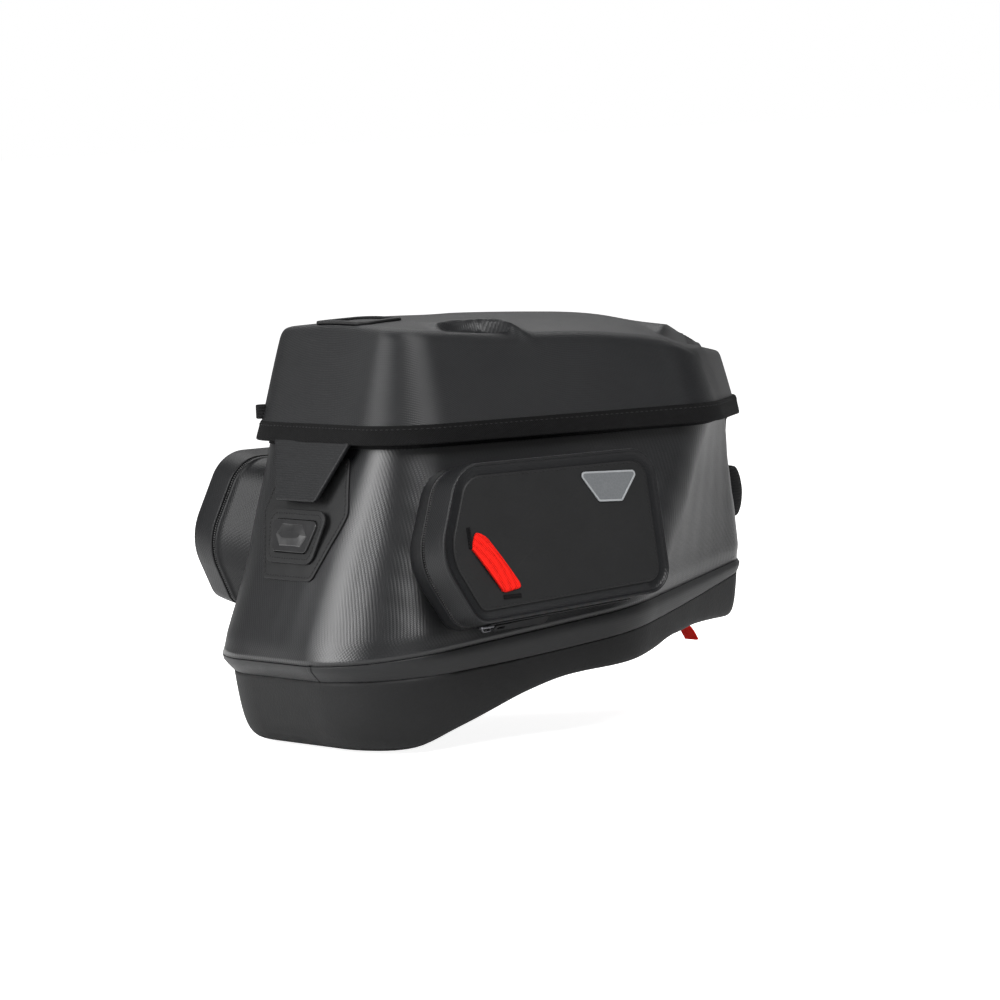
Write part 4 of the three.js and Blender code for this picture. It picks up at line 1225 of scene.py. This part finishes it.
def make_badge():
    """A sewn-on border round a raised plate that carries a plain faceted lozenge."""
    place = rear_place(BADGE_X, BADGE_Z, BADGE_SLOPE)
    border = framed_plate(badge_outline(0, 9), badge_outline(BADGE_BORDER, 5), -0.8, 0.9, 0.6, place)
    make("badge_border", border, PANEL_FABRIC, "bag", ["badge_frame"])
    make_stitch_round("badge_stitches", place(at_height(badge_outline(3.4, 7), 0.95)), REARWARD, 3.2)
    base = plate(badge_outline(BADGE_BORDER + 0.4, 4.6), -0.6, 2.3, 0.5, place)
    foot = np.array([[-20, 0], [-13, -8], [14, -8], [20, 0], [13, 8], [-14, 8]], float)
    lozenge = np.array([
        at_height(foot, 2.2), at_height(foot * [0.96, 0.92], 2.9), at_height(foot * [0.7, 0.3], 4.4),
    ])
    facets = skin(placed_rings(lozenge, place))
    make("badge_plate", join([base, facets]), BLACK_PLASTIC, "bag", ["badge_insert"], sharp=14)


# ---- zip sliders and pullers ----
# length, thickness
LID_PULLER = (17, 0.9)
POCKET_PULLER = (46, 1.7)


def slider_shape(place):
    """A wedge-shaped slider along x, with a bridge over it that holds the puller."""
    wedge = rounded_outline([[6, -3, 1.5], [6, 3, 1.5], [-5, 4, 2], [-5, -4, 2]], 6, 3)
    base = plate(wedge, 0, 2.3, 0.7, place, crown=0.2)
    arch = smooth_path([[-3.3, 1.8], [-3.1, 3.7], [-1.8, 4.3], [1.8, 4.3], [3.1, 3.7], [3.3, 1.8]], 4)
    path = place(np.column_stack([arch[:, 0], np.zeros(len(arch)), arch[:, 1]]))
    ahead = unit(np.gradient(path, axis=0))
    side = alike(unit(place([[0, 1, 0]]) - place([[0, 0, 0]]))[0], path)
    return join([base, band(path, side, np.cross(ahead, side), flat_section(2.2, 0.8))])


def puller_shape(length, thickness, place):
    """A flat tapered pull with a raised grip, hanging along +x from its pivot."""
    outline = rounded_outline([[0, -3, 2], [length, -4.5, 2.6], [length, 4.5, 2.6], [0, 3, 2]], 6, 6)
    half = thickness / 2
    blade = plate(outline, -half, half, 0.6 * half, place)
    ribs = []
    for k in range(5):
        x = length * 0.62 + k * length * 0.06
        bar = rounded_box((x, -3), (x + 1, 3), 0.4, 3, 2)
        ribs.append(plate(bar, 0.5 * half, half + 0.4, 0.35, place))
    return join([blade, *ribs])


def puller_slot(place):
    slot = rounded_outline([[2.5, -1.1, 1], [9, -1.3, 1.2], [9, 1.3, 1.2], [2.5, 1.1, 1]], 5, 2)
    return plate(slot, -3, 3, 0.1, place)


def make_lid_sliders():
    for side, sign in (("right", 1), ("left", -1)):
        shift = (sign * LID_SLIDER_Y, 0)
        base = rear_place(ZIP_X, -4.8, ZIP_SLOPE, shift)

        def along(points, base=base, sign=sign):
            turned = np.array(points, float) * [-sign, -sign, 1]
            return base(turned)
        make(f"{side}_lid_zip_slider", slider_shape(along), SLIDER_STEEL, f"{side}_lid_slider_body",
             [f"{side}_lid_slider"], sharp=45)
        hang = rear_place(ZIP_X - 4.4, -6.6, ZIP_SLOPE, shift)

        def down(points, hang=hang):
            points = np.array(points, float)
            return hang(np.column_stack([points[:, 1], -points[:, 0], points[:, 2]]))
        puller = make(f"{side}_lid_zip_puller", puller_shape(*LID_PULLER, down), BLACK_PLASTIC, None,
                      [f"{side}_lid_puller"], sharp=45)
        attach(puller, f"{side}_lid_puller_body")


# ---- pockets: local x forward, y up the face, z outwards, z = 0 at the face ----
POCKET_OUTLINE = rounded_outline(POCKET_CORNERS, 14, 18)
PANEL_FACE = -0.1
ZIP_LINE = 1.5 - POCKET_LIP
STRAP_TOP = np.array([-141.0, 3.0])
STRAP_END = np.array([-116.0, -34.0])
STRAP_WIDTH = 15
SLIDER_X = -119
PULLER_TILT = math.radians(35)
HINGE_FROM = np.array(POCKET_CORNERS[4][:2], float)
HINGE_TO = np.array(POCKET_CORNERS[0][:2], float)


def pocket_place(side):
    """Places one pocket's local points; the left pocket mirrors the right one."""
    flip = np.array([1, 1, 1]) if side == "right" else np.array([1, -1, 1])
    lean = POCKET_LEAN
    up = (0, math.sin(lean), math.cos(lean))
    out = (0, -math.cos(lean), math.sin(lean))

    def place(points):
        return placed(points, POCKET_PLACE, (1, 0, 0), up, out) * flip
    return place


def pocket_ring(inset, height):
    return at_height(offset_outline(POCKET_OUTLINE, -inset), height)


def gusset_ring(inset, height):
    """A ring of the gusset, whose rear end slopes forward behind the zip."""
    ring = pocket_ring(inset, height)
    behind = np.maximum(0, -POCKET_LIP - ring[:, 2]) / (GUSSET_FOOT - POCKET_LIP)
    ring[:, 0] += GUSSET_TAPER * behind * (1 - smoothstep(ring[:, 0], -160, -80))
    return ring


def wall_depths(place):
    """How far in from the zip line each point of the gusset meets the body."""
    starts = place(gusset_ring(0, -POCKET_LIP))
    ends = place(gusset_ring(0, -GUSSET_FOOT))
    depths = []
    for start, direction in zip(starts, unit(ends - starts)):
        hit = BODY_TREE.ray_cast(Vector(start), Vector(direction))
        depths.append(hit[3] if hit[0] else 40.0)
    return np.array(depths) * (GUSSET_FOOT - POCKET_LIP) / np.linalg.norm(ends - starts, axis=1)


def gusset_rings(depths):
    """From the sewn edge behind the zip, in a little, and back to the body."""
    front = -POCKET_LIP - 0.3
    rings = [gusset_ring(i, front - d) for i, d in (
        (1.2, 0), (0.4, 0.2), (0, 0.9), (0, 1.8), (0.4, 2.6), (0.9, 3.2),
    )]
    foot = -POCKET_LIP - depths - 0.6
    for share in (0.1, 0.35, 0.6, 0.8, 0.92, 1):
        swell = 0.9 - 0.7 * math.sin(math.pi * share) - 1.6 * share**6
        rings.append(gusset_ring(swell, lerp(front - 3.2, foot, share)))
    rings += [gusset_ring(3.6, lerp(foot, front, share)) for share in (0, 0.5, 1)]
    return rings


def zip_hinge_line(count):
    along = unit(HINGE_TO - HINGE_FROM)
    inset = np.array([along[1], -along[0]]) * 0.1
    return [lerp(HINGE_FROM, HINGE_TO, s) + inset for s in np.linspace(0.16, 0.87, count)]


def make_pocket_shell(side, place):
    bag_side = wall_depths(place)
    gusset = skin(placed_rings(gusset_rings(bag_side), place), wrapped=True)
    make(f"{side}_pocket_gusset_fabric", gusset, POCKET_FABRIC, "bag",
         [f"{side}_pocket_gusset"])
    tape = [pocket_ring(i, z - POCKET_LIP) for i, z in (
        (1.5, -0.2), (1.2, 0.6), (1.2, 2.6), (1.5, 3.4), (2.8, 3.4), (2.8, -0.2))]
    make(f"{side}_pocket_zip_tape", skin(placed_rings(tape, place), wrapped=True), ZIP_TAPE,
         f"{side}_door", [f"{side}_pocket_zip"])
    line = place(pocket_ring(1.0, ZIP_LINE))
    out = unit(line - place(pocket_ring(3.0, ZIP_LINE)))
    points, along = even_path(line, TOOTH_PITCH, closed=True)
    near = [int(np.argmin(((line - p) ** 2).sum(axis=1))) for p in points]
    teeth = beads(points, along, out[near], (0.55, 1.2, 0.5))
    make(f"{side}_pocket_zip_teeth", teeth, BLACK_PLASTIC, f"{side}_door")


DOOR_FOOT = 3.4 - POCKET_LIP
DOOR_FACE = -1.9
DOOR_FACE_INSET = 10.6
DOOR_BACK = -4.8
# [inset, height above the door's foot] up its wall
DOOR_WALL = [[0.6, 0], [0.1, 0.7], [0, 4], [0, 12], [0.1, 18], [0.3, 21.5]]
# [inset, height] over its ridge and down to the panel
DOOR_RIDGE = [
    [0.3, -1.2], [0.7, -0.3], [1.4, 0.1], [2.1, -0.2], [3.6, -1.5], [7.4, -2.1],
    [DOOR_FACE_INSET, DOOR_FACE],
]


def make_pocket_door(side, place):
    rim = smooth_path([[i, DOOR_FOOT + z] for i, z in DOOR_WALL] + DOOR_RIDGE, 3)
    face = offset_outline(POCKET_OUTLINE, -DOOR_FACE_INSET)
    middle = face.mean(axis=0)
    rings = [at_height(lerp(middle, face, s), DOOR_FACE) for s in (0.25, 0.6, 0.95)]
    rings += [pocket_ring(inset, z) for inset, z in rim[::-1]]
    rings += [pocket_ring(inset, z) for inset, z in ((2.6, DOOR_FOOT), (3, -6.5), (6, DOOR_BACK))]
    inside = len(rings) - 1
    rings += [at_height(lerp(middle, face, s), DOOR_BACK) for s in (0.9, 0.6, 0.25)]
    door = make(f"{side}_pocket_door_shell", skin(placed_rings(rings, place)), POCKET_FABRIC,
                f"{side}_door", [f"{side}_pocket_door"])
    line_inside(door, LINING, inside - 2, len(rings) - 1, len(POCKET_OUTLINE))
    panel = plate(offset_outline(POCKET_OUTLINE, -8.8), -1.8, PANEL_FACE - 0.3, 1.1, place)
    make(f"{side}_pocket_panel", panel, PANEL_FABRIC, f"{side}_door",
         [f"{side}_pocket_face_panel"])
    out = place([[0, 0, 1]]) - place([[0, 0, 0]])
    line = place(pocket_ring(DOOR_FACE_INSET, PANEL_FACE - 0.3))
    make(f"{side}_pocket_rim_stitches",
         stitches(line, alike(out[0], line), closed=True, pitch=3.6), THREAD, f"{side}_door")


def make_pocket_hinge(side, place):
    """The fabric hinge along the door's lower edge."""
    line = np.array(zip_hinge_line(24))
    along = alike(np.append(unit(HINGE_TO - HINGE_FROM), 0), line)
    out = np.cross(along, UP)
    path = at_height(line, ZIP_LINE - 0.1)
    section = [[0.2, -3.4], [1.1, -3.2], [1.3, 0], [1.1, 3.2], [0.2, 3.4], [0.3, 0]]
    rings = (path[:, None] + out[:, None] * np.array(section)[None, :, :1]
             + UP * np.array(section)[None, :, 1:])
    strip = make(f"{side}_pocket_hinge_fabric", skin(placed_rings(rings, place), along_rings=True),
                 POCKET_FABRIC, None)
    ends = in_frame(place([[-60, -54, ZIP_LINE - 3], [-60, -54, ZIP_LINE + 2]]))
    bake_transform(strip)


def make_reflector(side, place):
    corners = [[-32, 19, 3], [-12, 18, 3], [5, 39, 3], [-47, 41, 3]]
    outline = rounded_outline(corners, 8, 8)
    film = plate(offset_outline(outline, -1.2), PANEL_FACE - 0.2, PANEL_FACE + 0.55, 0.3, place)
    make(f"{side}_reflector_film", film, REFLECTIVE, f"{side}_door", [f"{side}_pocket_reflector"])
    edge = framed_plate(outline, offset_outline(outline, -1.4), PANEL_FACE - 0.2, PANEL_FACE + 0.8,
                        0.3, place)
    make(f"{side}_reflector_edge", edge, REFLECTIVE_BORDER, f"{side}_door")


# [across, along] of the strap's two slanting ends, where it dips under the panel
STRAP_START = [[-7.5, 5.4], [-5, 3], [2.5, -1.2], [5.5, 1.4], [7.5, 6.2]]
STRAP_FINISH = [[-7.5, -2.4], [-6, -0.2], [0, 2.7], [6, 5.2], [7.5, 3.4]]


def make_strap(side, place):
    """A ribbed elastic strap whose ends go under the panel at dark bar-tacks."""
    ahead = unit(STRAP_END - STRAP_TOP)
    beside = np.array([-ahead[1], ahead[0]])
    length = float(np.linalg.norm(STRAP_END - STRAP_TOP))
    across = np.linspace(-STRAP_WIDTH / 2, STRAP_WIDTH / 2, 61)
    ridge = 0.5 * np.abs(np.sin(math.pi * across / 1.5)) ** 0.7
    edge = np.sqrt(np.maximum(0, 1 - (np.abs(across) / (STRAP_WIDTH / 2)) ** 16))
    first = smooth_line(STRAP_START, across)
    last = length + smooth_line(STRAP_FINISH, across)
    rise = [[0, 0.1], [0.012, 1.1], [0.04, 1.7], [0.12, 2.0], [0.5, 2.5], [0.88, 2.0], [0.96, 1.7],
            [0.988, 1.1], [1, 0.1]]
    rings = []
    for share, height in smooth_path(rise, 4):
        flat = STRAP_TOP + lerp(first, last, share)[:, None] * ahead + across[:, None] * beside
        upper = at_height(flat, PANEL_FACE + height + ridge * edge - 0.3)
        lower = at_height(flat, PANEL_FACE + max(height - 1.6, 0) - 0.4)
        rings.append(np.concatenate([upper, lower[::-1]]))
    strap = skin(placed_rings(rings, place), along_rings=True)
    make(f"{side}_strap_webbing", strap, RED_WEBBING, f"{side}_door", [f"{side}_elastic_strap"])
    tacks = {
        "upper": (STRAP_TOP + [-3.8, -0.6], np.array([0.0, 1.0])),
        "lower": (STRAP_END + [0.6, -6.4], np.array([1.0, 0.0])),
    }
    for name, (middle, run) in tacks.items():
        make(f"{side}_strap_bar_tack_{name}", bar_tack(middle, run, place), WEBBING,
             f"{side}_door", [f"{side}_strap_tack_{name}"])


def bar_tack(middle, run, place):
    """A dense bar of thread on a small patch; run is its direction on the panel."""
    half = STRAP_WIDTH / 2
    beside = np.array([-run[1], run[0]])
    corners = [(-half, -1.5), (half, -1.5), (half, 1.5), (-half, 1.5)]
    block = rounded_outline([[*(middle + u * run + v * beside), 0.7] for u, v in corners], 4, 4)
    base = plate(block, PANEL_FACE - 0.3, PANEL_FACE + 0.5, 0.3, place)
    spots = [middle + u * run for u in np.linspace(-half + 0.8, half - 0.8, 14)]
    spots = place(at_height(np.array(spots), PANEL_FACE + 0.6))
    start, aside, off = place([[0, 0, 0], [*beside, 0], [0, 0, 1]])
    thread_run = alike(unit(aside - start), spots)
    facing = alike(unit(off - start), spots)
    return join([base, beads(spots, thread_run, facing, (1.3, 0.5, 0.4))])


def make_pocket_slider(side, place):
    along = unit(HINGE_TO - HINGE_FROM)
    at = HINGE_FROM + along * (SLIDER_X - HINGE_FROM[0]) / along[0]
    across = np.array([-along[1], along[0]])

    def on_line(points, drop, depth, forward=0.0):
        points = np.array(points, float)
        flat = at + (points[:, :1] + forward) * along + (-drop - points[:, 2:3]) * across
        return place(np.column_stack([flat, depth + points[:, 1]]))

    def slider_place(points):
        return on_line(points, 0.8, -POCKET_LIP - 4.8)

    def puller_place(points):
        # It hangs with its outer edge a little lower.
        turned = np.array(points, float)
        c, s = math.cos(PULLER_TILT), math.sin(PULLER_TILT)
        turned[:, 1:] = turned[:, 1:] @ np.array([[c, -s], [s, c]])
        return on_line(turned, 3.6, -POCKET_LIP - 5.6, 7.2)
    make(f"{side}_pocket_zip_slider", slider_shape(slider_place), SLIDER_STEEL,
         f"{side}_pocket_slider_body", [f"{side}_pocket_slider"], sharp=45)
    puller = make(f"{side}_pocket_zip_puller", puller_shape(*POCKET_PULLER, puller_place), PULLER_RUBBER,
                  None, [f"{side}_pocket_puller"], sharp=45)
    carve(puller, [puller_slot(puller_place)])
    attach(puller, f"{side}_pocket_puller_body")


def make_pocket(side):
    place = pocket_place(side)
    make_pocket_shell(side, place)
    make_pocket_door(side, place)
    make_pocket_hinge(side, place)
    make_reflector(side, place)
    make_strap(side, place)
    make_pocket_slider(side, place)


# ---- tank ring ----
SLOT_FROM = 18
SLOT_TO = 70
LATCH_FROM = 30
LATCH_TO = 58
LATCH_HALF = 14


def make_ring_housing():
    profile = [[0, 0], [30, 0], [48, 0], [50, 0.4], [51, 1.6], [51, 4.6], [50.4, 5.4], [46.8, 6.3],
               [46, 7], [46, 8.6], [46.8, 9.2], [54.6, 10.2], [RING_RADIUS, 11.2],
               [RING_RADIUS, 13.2], [55.2, RING_HEIGHT], [30, RING_HEIGHT], [0, RING_HEIGHT]]
    housing = make("ring_housing", lathe(profile, ring_place, 128), BLACK_PLASTIC, None,
                   ["tank_ring_housing"])
    half = LATCH_HALF + 0.4
    slot = rounded_box((SLOT_FROM, -half), (SLOT_TO, half), 1.5, 4, 2)
    cutters = [plate(slot, 3.7, 8.3, 0.1, ring_place)]
    for x, y in SCREW_PLACES:
        cutters.append(lathe([[0, -2], [5.3, -2], [4.9, 0.6], [4.9, 4], [0, 4]], ring_place, 32, x, y))
    for x, y in MAGNET_PLACES:
        cutters.append(lathe([[0, -2], [7, -2], [6.4, 0.5], [6.4, 3.2], [0, 3.2]], ring_place, 32, x, y))
    carve(housing, cutters)
    housing.data.set_sharp_from_angle(angle=math.radians(40))
    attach(housing, "bag")


def make_latch():
    outline = rounded_outline([
        [LATCH_FROM, -LATCH_HALF, 2], [LATCH_TO, -LATCH_HALF, 5],
        [LATCH_TO, LATCH_HALF, 5], [LATCH_FROM, LATCH_HALF, 2],
    ], 6, 6)
    body = plate(outline, 4.1, 7.9, 0.7, ring_place)
    make("ring_latch", body, BLACK_PLASTIC, "latch", ["tank_ring_latch"], sharp=45)


def make_release_strap():
    spots = [[LATCH_TO + 0.3, 6], [68, 5.8], [80, 5], [92, 2.6], [103, -1], [114, -5], [124, -10],
             [131, -17], [135, -26]]
    route = smooth_path(spots, 5)
    flat = np.column_stack([route[:, 0], np.zeros(len(route)), route[:, 1]])
    path = ring_place(flat)
    ahead = unit(np.gradient(path, axis=0))
    side = alike((0, 1, 0), path)
    strap = band(path, side, np.cross(ahead, side), flat_section(16, 1.9, 14))
    make("release_pull_strap", strap, RED_WEBBING, "latch", ["release_strap"])
    ends = []
    for at in (-6, -14):
        row = np.array([path[at] + side[0] * y for y in np.linspace(-6.5, 6.5, 14)])
        face = alike(np.cross(ahead[at], side[at]), row)
        for lift in (1.05, -1.05):
            ends.append(stitches(row + face * lift, face, pitch=2.6))
    make("release_strap_stitches", join(ends), RED_THREAD, "latch")


def screw_shape(x, y):
    """A pan head with a hexagon socket, on a plain shank."""
    turn = np.arange(48) * 2 * math.pi / 48
    corner = math.pi / 6
    reach = 1.9 * math.cos(corner) / np.cos(np.mod(turn, 2 * corner) - corner)
    socket = np.column_stack([reach * np.cos(turn), reach * np.sin(turn)]) + [x, y]
    ring = [at_height(socket, 2.6), at_height(socket, 0.6)]
    head = [[2.4, 0.5], [3.6, 0.5], [4.2, 0.9], [4.4, 1.6], [4.4, 3.5], [2.5, 3.6],
            [2.5, BOSS_TOP + 2.4], [2.1, BOSS_TOP + 2.9]]
    rings = ring + [at_height(circle(r, 48, x, y), z) for r, z in head]
    return skin(placed_rings(rings, ring_place))


def make_ring_fasteners():
    for i, (x, y) in enumerate(SCREW_PLACES):
        make(f"ring_socket_screw_{i + 1}", screw_shape(x, y), STEEL, "bag", [f"ring_screw_{i + 1}"],
             sharp=35)
    for i, (x, y) in enumerate(MAGNET_PLACES):
        disc = [[0, 0.3], [5.3, 0.3], [5.8, 0.6], [6, 1], [6, 2.7], [5.6, 3], [0, 3]]
        make(f"ring_disc_magnet_{i + 1}", lathe(disc, ring_place, 48, x, y), STEEL, "bag",
             [f"ring_magnet_{i + 1}"], sharp=40)
    dress("ring_backing_plate", BLACK_PLASTIC, bevel=0.5)


# ---- front handle ----
HANDLE_Z = -61
HANDLE_HALF = 36
HANDLE_ROOT = 160
HANDLE_REACH = 36.5


def handle_route():
    turn = np.radians(np.linspace(14, 166, 61))
    arch = np.column_stack([-HANDLE_HALF * np.cos(turn), HANDLE_REACH * np.sin(turn) ** 0.75])
    lead = [[arch[0, 0] - 0.4, out] for out in (-2.5, 1.5, 5, 8.5)]
    tail = [[-y, out] for y, out in reversed(lead)]
    return np.concatenate([lead, arch, tail])


def make_handle():
    route = handle_route()
    ahead = unit(np.gradient(route, axis=0))
    half = [[-18, -3], [-16, -1.4], [-10, 0.6], [0, 1.7]]
    upper = smooth_path(half + [[-z, out] for z, out in half[-2::-1]], 3)
    lower = upper[::-1] - [0, 2.4]
    section = np.concatenate([upper, lower])
    rings = []
    for (y, out), (along_y, along_out) in zip(route, ahead):
        z = section[:, 0] * (1 - 0.10 * smoothstep(out, 14, 0))
        rings.append(np.column_stack([
            HANDLE_ROOT + out + along_y * section[:, 1], y - along_out * section[:, 1],
            HANDLE_Z + z,
        ]))
    handle = make("front_handle_webbing", skin(rings, along_rings=True), WEBBING, None,
                  ["front_handle"])
    start = in_frame([HANDLE_ROOT + 1.5, 0, HANDLE_Z])
    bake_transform(handle)


def make_handle_anchors():
    for side, sign in (("left", 1), ("right", -1)):
        corners = [[27, -42, 2], [45, -42, 2], [45, -80, 2], [27, -80, 2]]
        if sign > 0:
            corners = corners[::-1]
        outline = rounded_outline([[sign * y, z, r] for y, z, r in corners], 6, 10)
        patch = plate(outline, 0.1, 1.7, 0.5, on_front)
        make(f"{side}_handle_anchor_patch", patch, WEBBING, "bag", [f"{side}_handle_anchor"])
        line = on_front(at_height(offset_outline(outline, -2.2), 1.8))
        make_stitch_round(f"{side}_handle_anchor_stitches", line, (1, 0, 0), 3.2)


# ---- floor and light ----
FLOOR_DROP = 0.002
FLOOR_HALF = 30.0
FLOOR_GLOW = 0.9
WORLD_LIGHT = 0.24


def seen_by_camera(tree):
    """1 for what the camera sees directly, 0 for the light that it sheds."""
    return tree.nodes.new("ShaderNodeLightPath").outputs["Is Camera Ray"]


def floor_material():
    """A pale floor that keeps only a soft shadow, and isn't seen from below."""
    material = bpy.data.materials.new("floor")
    material.use_nodes = True
    tree = material.node_tree
    paint = tree.nodes["Principled BSDF"]
    paint.inputs["Base Color"].default_value = (0.8, 0.8, 0.8, 1)
    paint.inputs["Roughness"].default_value = 0.9
    glow = tree.nodes.new("ShaderNodeMath")
    glow.operation = "MULTIPLY"
    glow.inputs[1].default_value = FLOOR_GLOW
    tree.links.new(seen_by_camera(tree), glow.inputs[0])
    paint.inputs["Emission Color"].default_value = (1, 1, 1, 1)
    tree.links.new(glow.outputs[0], paint.inputs["Emission Strength"])
    clear = tree.nodes.new("ShaderNodeBsdfTransparent")
    mix = tree.nodes.new("ShaderNodeMixShader")
    side = tree.nodes.new("ShaderNodeNewGeometry")
    tree.links.new(side.outputs["Backfacing"], mix.inputs[0])
    tree.links.new(paint.outputs[0], mix.inputs[1])
    tree.links.new(clear.outputs[0], mix.inputs[2])
    tree.links.new(mix.outputs[0], tree.nodes["Material Output"].inputs["Surface"])
    return material


def make_floor(lowest):
    data = bpy.data.meshes.new("floor")
    far = FLOOR_HALF
    corners = [(-far, -far), (far, -far), (far, far), (-far, far)]
    data.from_pydata([(x, y, lowest - FLOOR_DROP) for x, y in corners], [], [(0, 1, 2, 3)])
    data.materials.append(floor_material())
    floor = bpy.data.objects.new("floor", data)
    bpy.context.scene.collection.objects.link(floor)
    floor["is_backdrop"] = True


def add_light(name, azimuth, elevation, distance, width, height, power):
    """A softbox that faces the bag from an azimuth and elevation in degrees."""
    data = bpy.data.lights.new(name, "AREA")
    data.shape = "RECTANGLE"
    data.size = width
    data.size_y = height
    data.energy = power
    light = bpy.data.objects.new(name, data)
    bpy.context.scene.collection.objects.link(light)
    back = direction(math.radians(azimuth), math.radians(elevation))
    light.location = CAMERA_AIM + back * distance
    light.rotation_euler = back.to_track_quat("Z", "Y").to_euler()


def make_world():
    """White to the camera, and dimmer as a source of light."""
    world = bpy.data.worlds.new("studio")
    world.use_nodes = True
    tree = world.node_tree
    background = tree.nodes["Background"]
    background.inputs["Color"].default_value = (1, 1, 1, 1)
    strength = tree.nodes.new("ShaderNodeMapRange")
    strength.inputs["To Min"].default_value = WORLD_LIGHT
    strength.inputs["To Max"].default_value = 1.0
    tree.links.new(seen_by_camera(tree), strength.inputs["Value"])
    tree.links.new(strength.outputs[0], background.inputs["Strength"])
    bpy.context.scene.world = world


# name: azimuth, elevation (degrees), distance, width, height (metres), power (watts)
SOFTBOXES = {
    "key_softbox": (106, 20, 2.4, 1.25, 1.9, 68),
    "overhead_softbox": (-155, 52, 2.4, 2.2, 1.4, 26),
    "fill_softbox": (18, 46, 2.6, 1.6, 1.0, 102),
    "front_softbox": (-105, 8, 2.6, 2.4, 2.0, 5),
}


make_body()
make_weld_band()
make_tray()
make_lid()
make_binding()
make_lid_zip()
make_body_zip()
make_hinge_strip()
make_top_panel()
make_net()
make_side_loop()
make_flap()
make_rear_patch()
make_badge()
make_lid_sliders()
make_pocket("right")
make_pocket("left")
make_ring_housing()
make_latch()
make_release_strap()
make_ring_fasteners()
make_handle()
make_handle_anchors()
make_floor(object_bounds()[0][2])
make_world()
for softbox, settings in SOFTBOXES.items():
    add_light(softbox, *settings)
bpy.context.scene.view_settings.view_transform = "Standard"
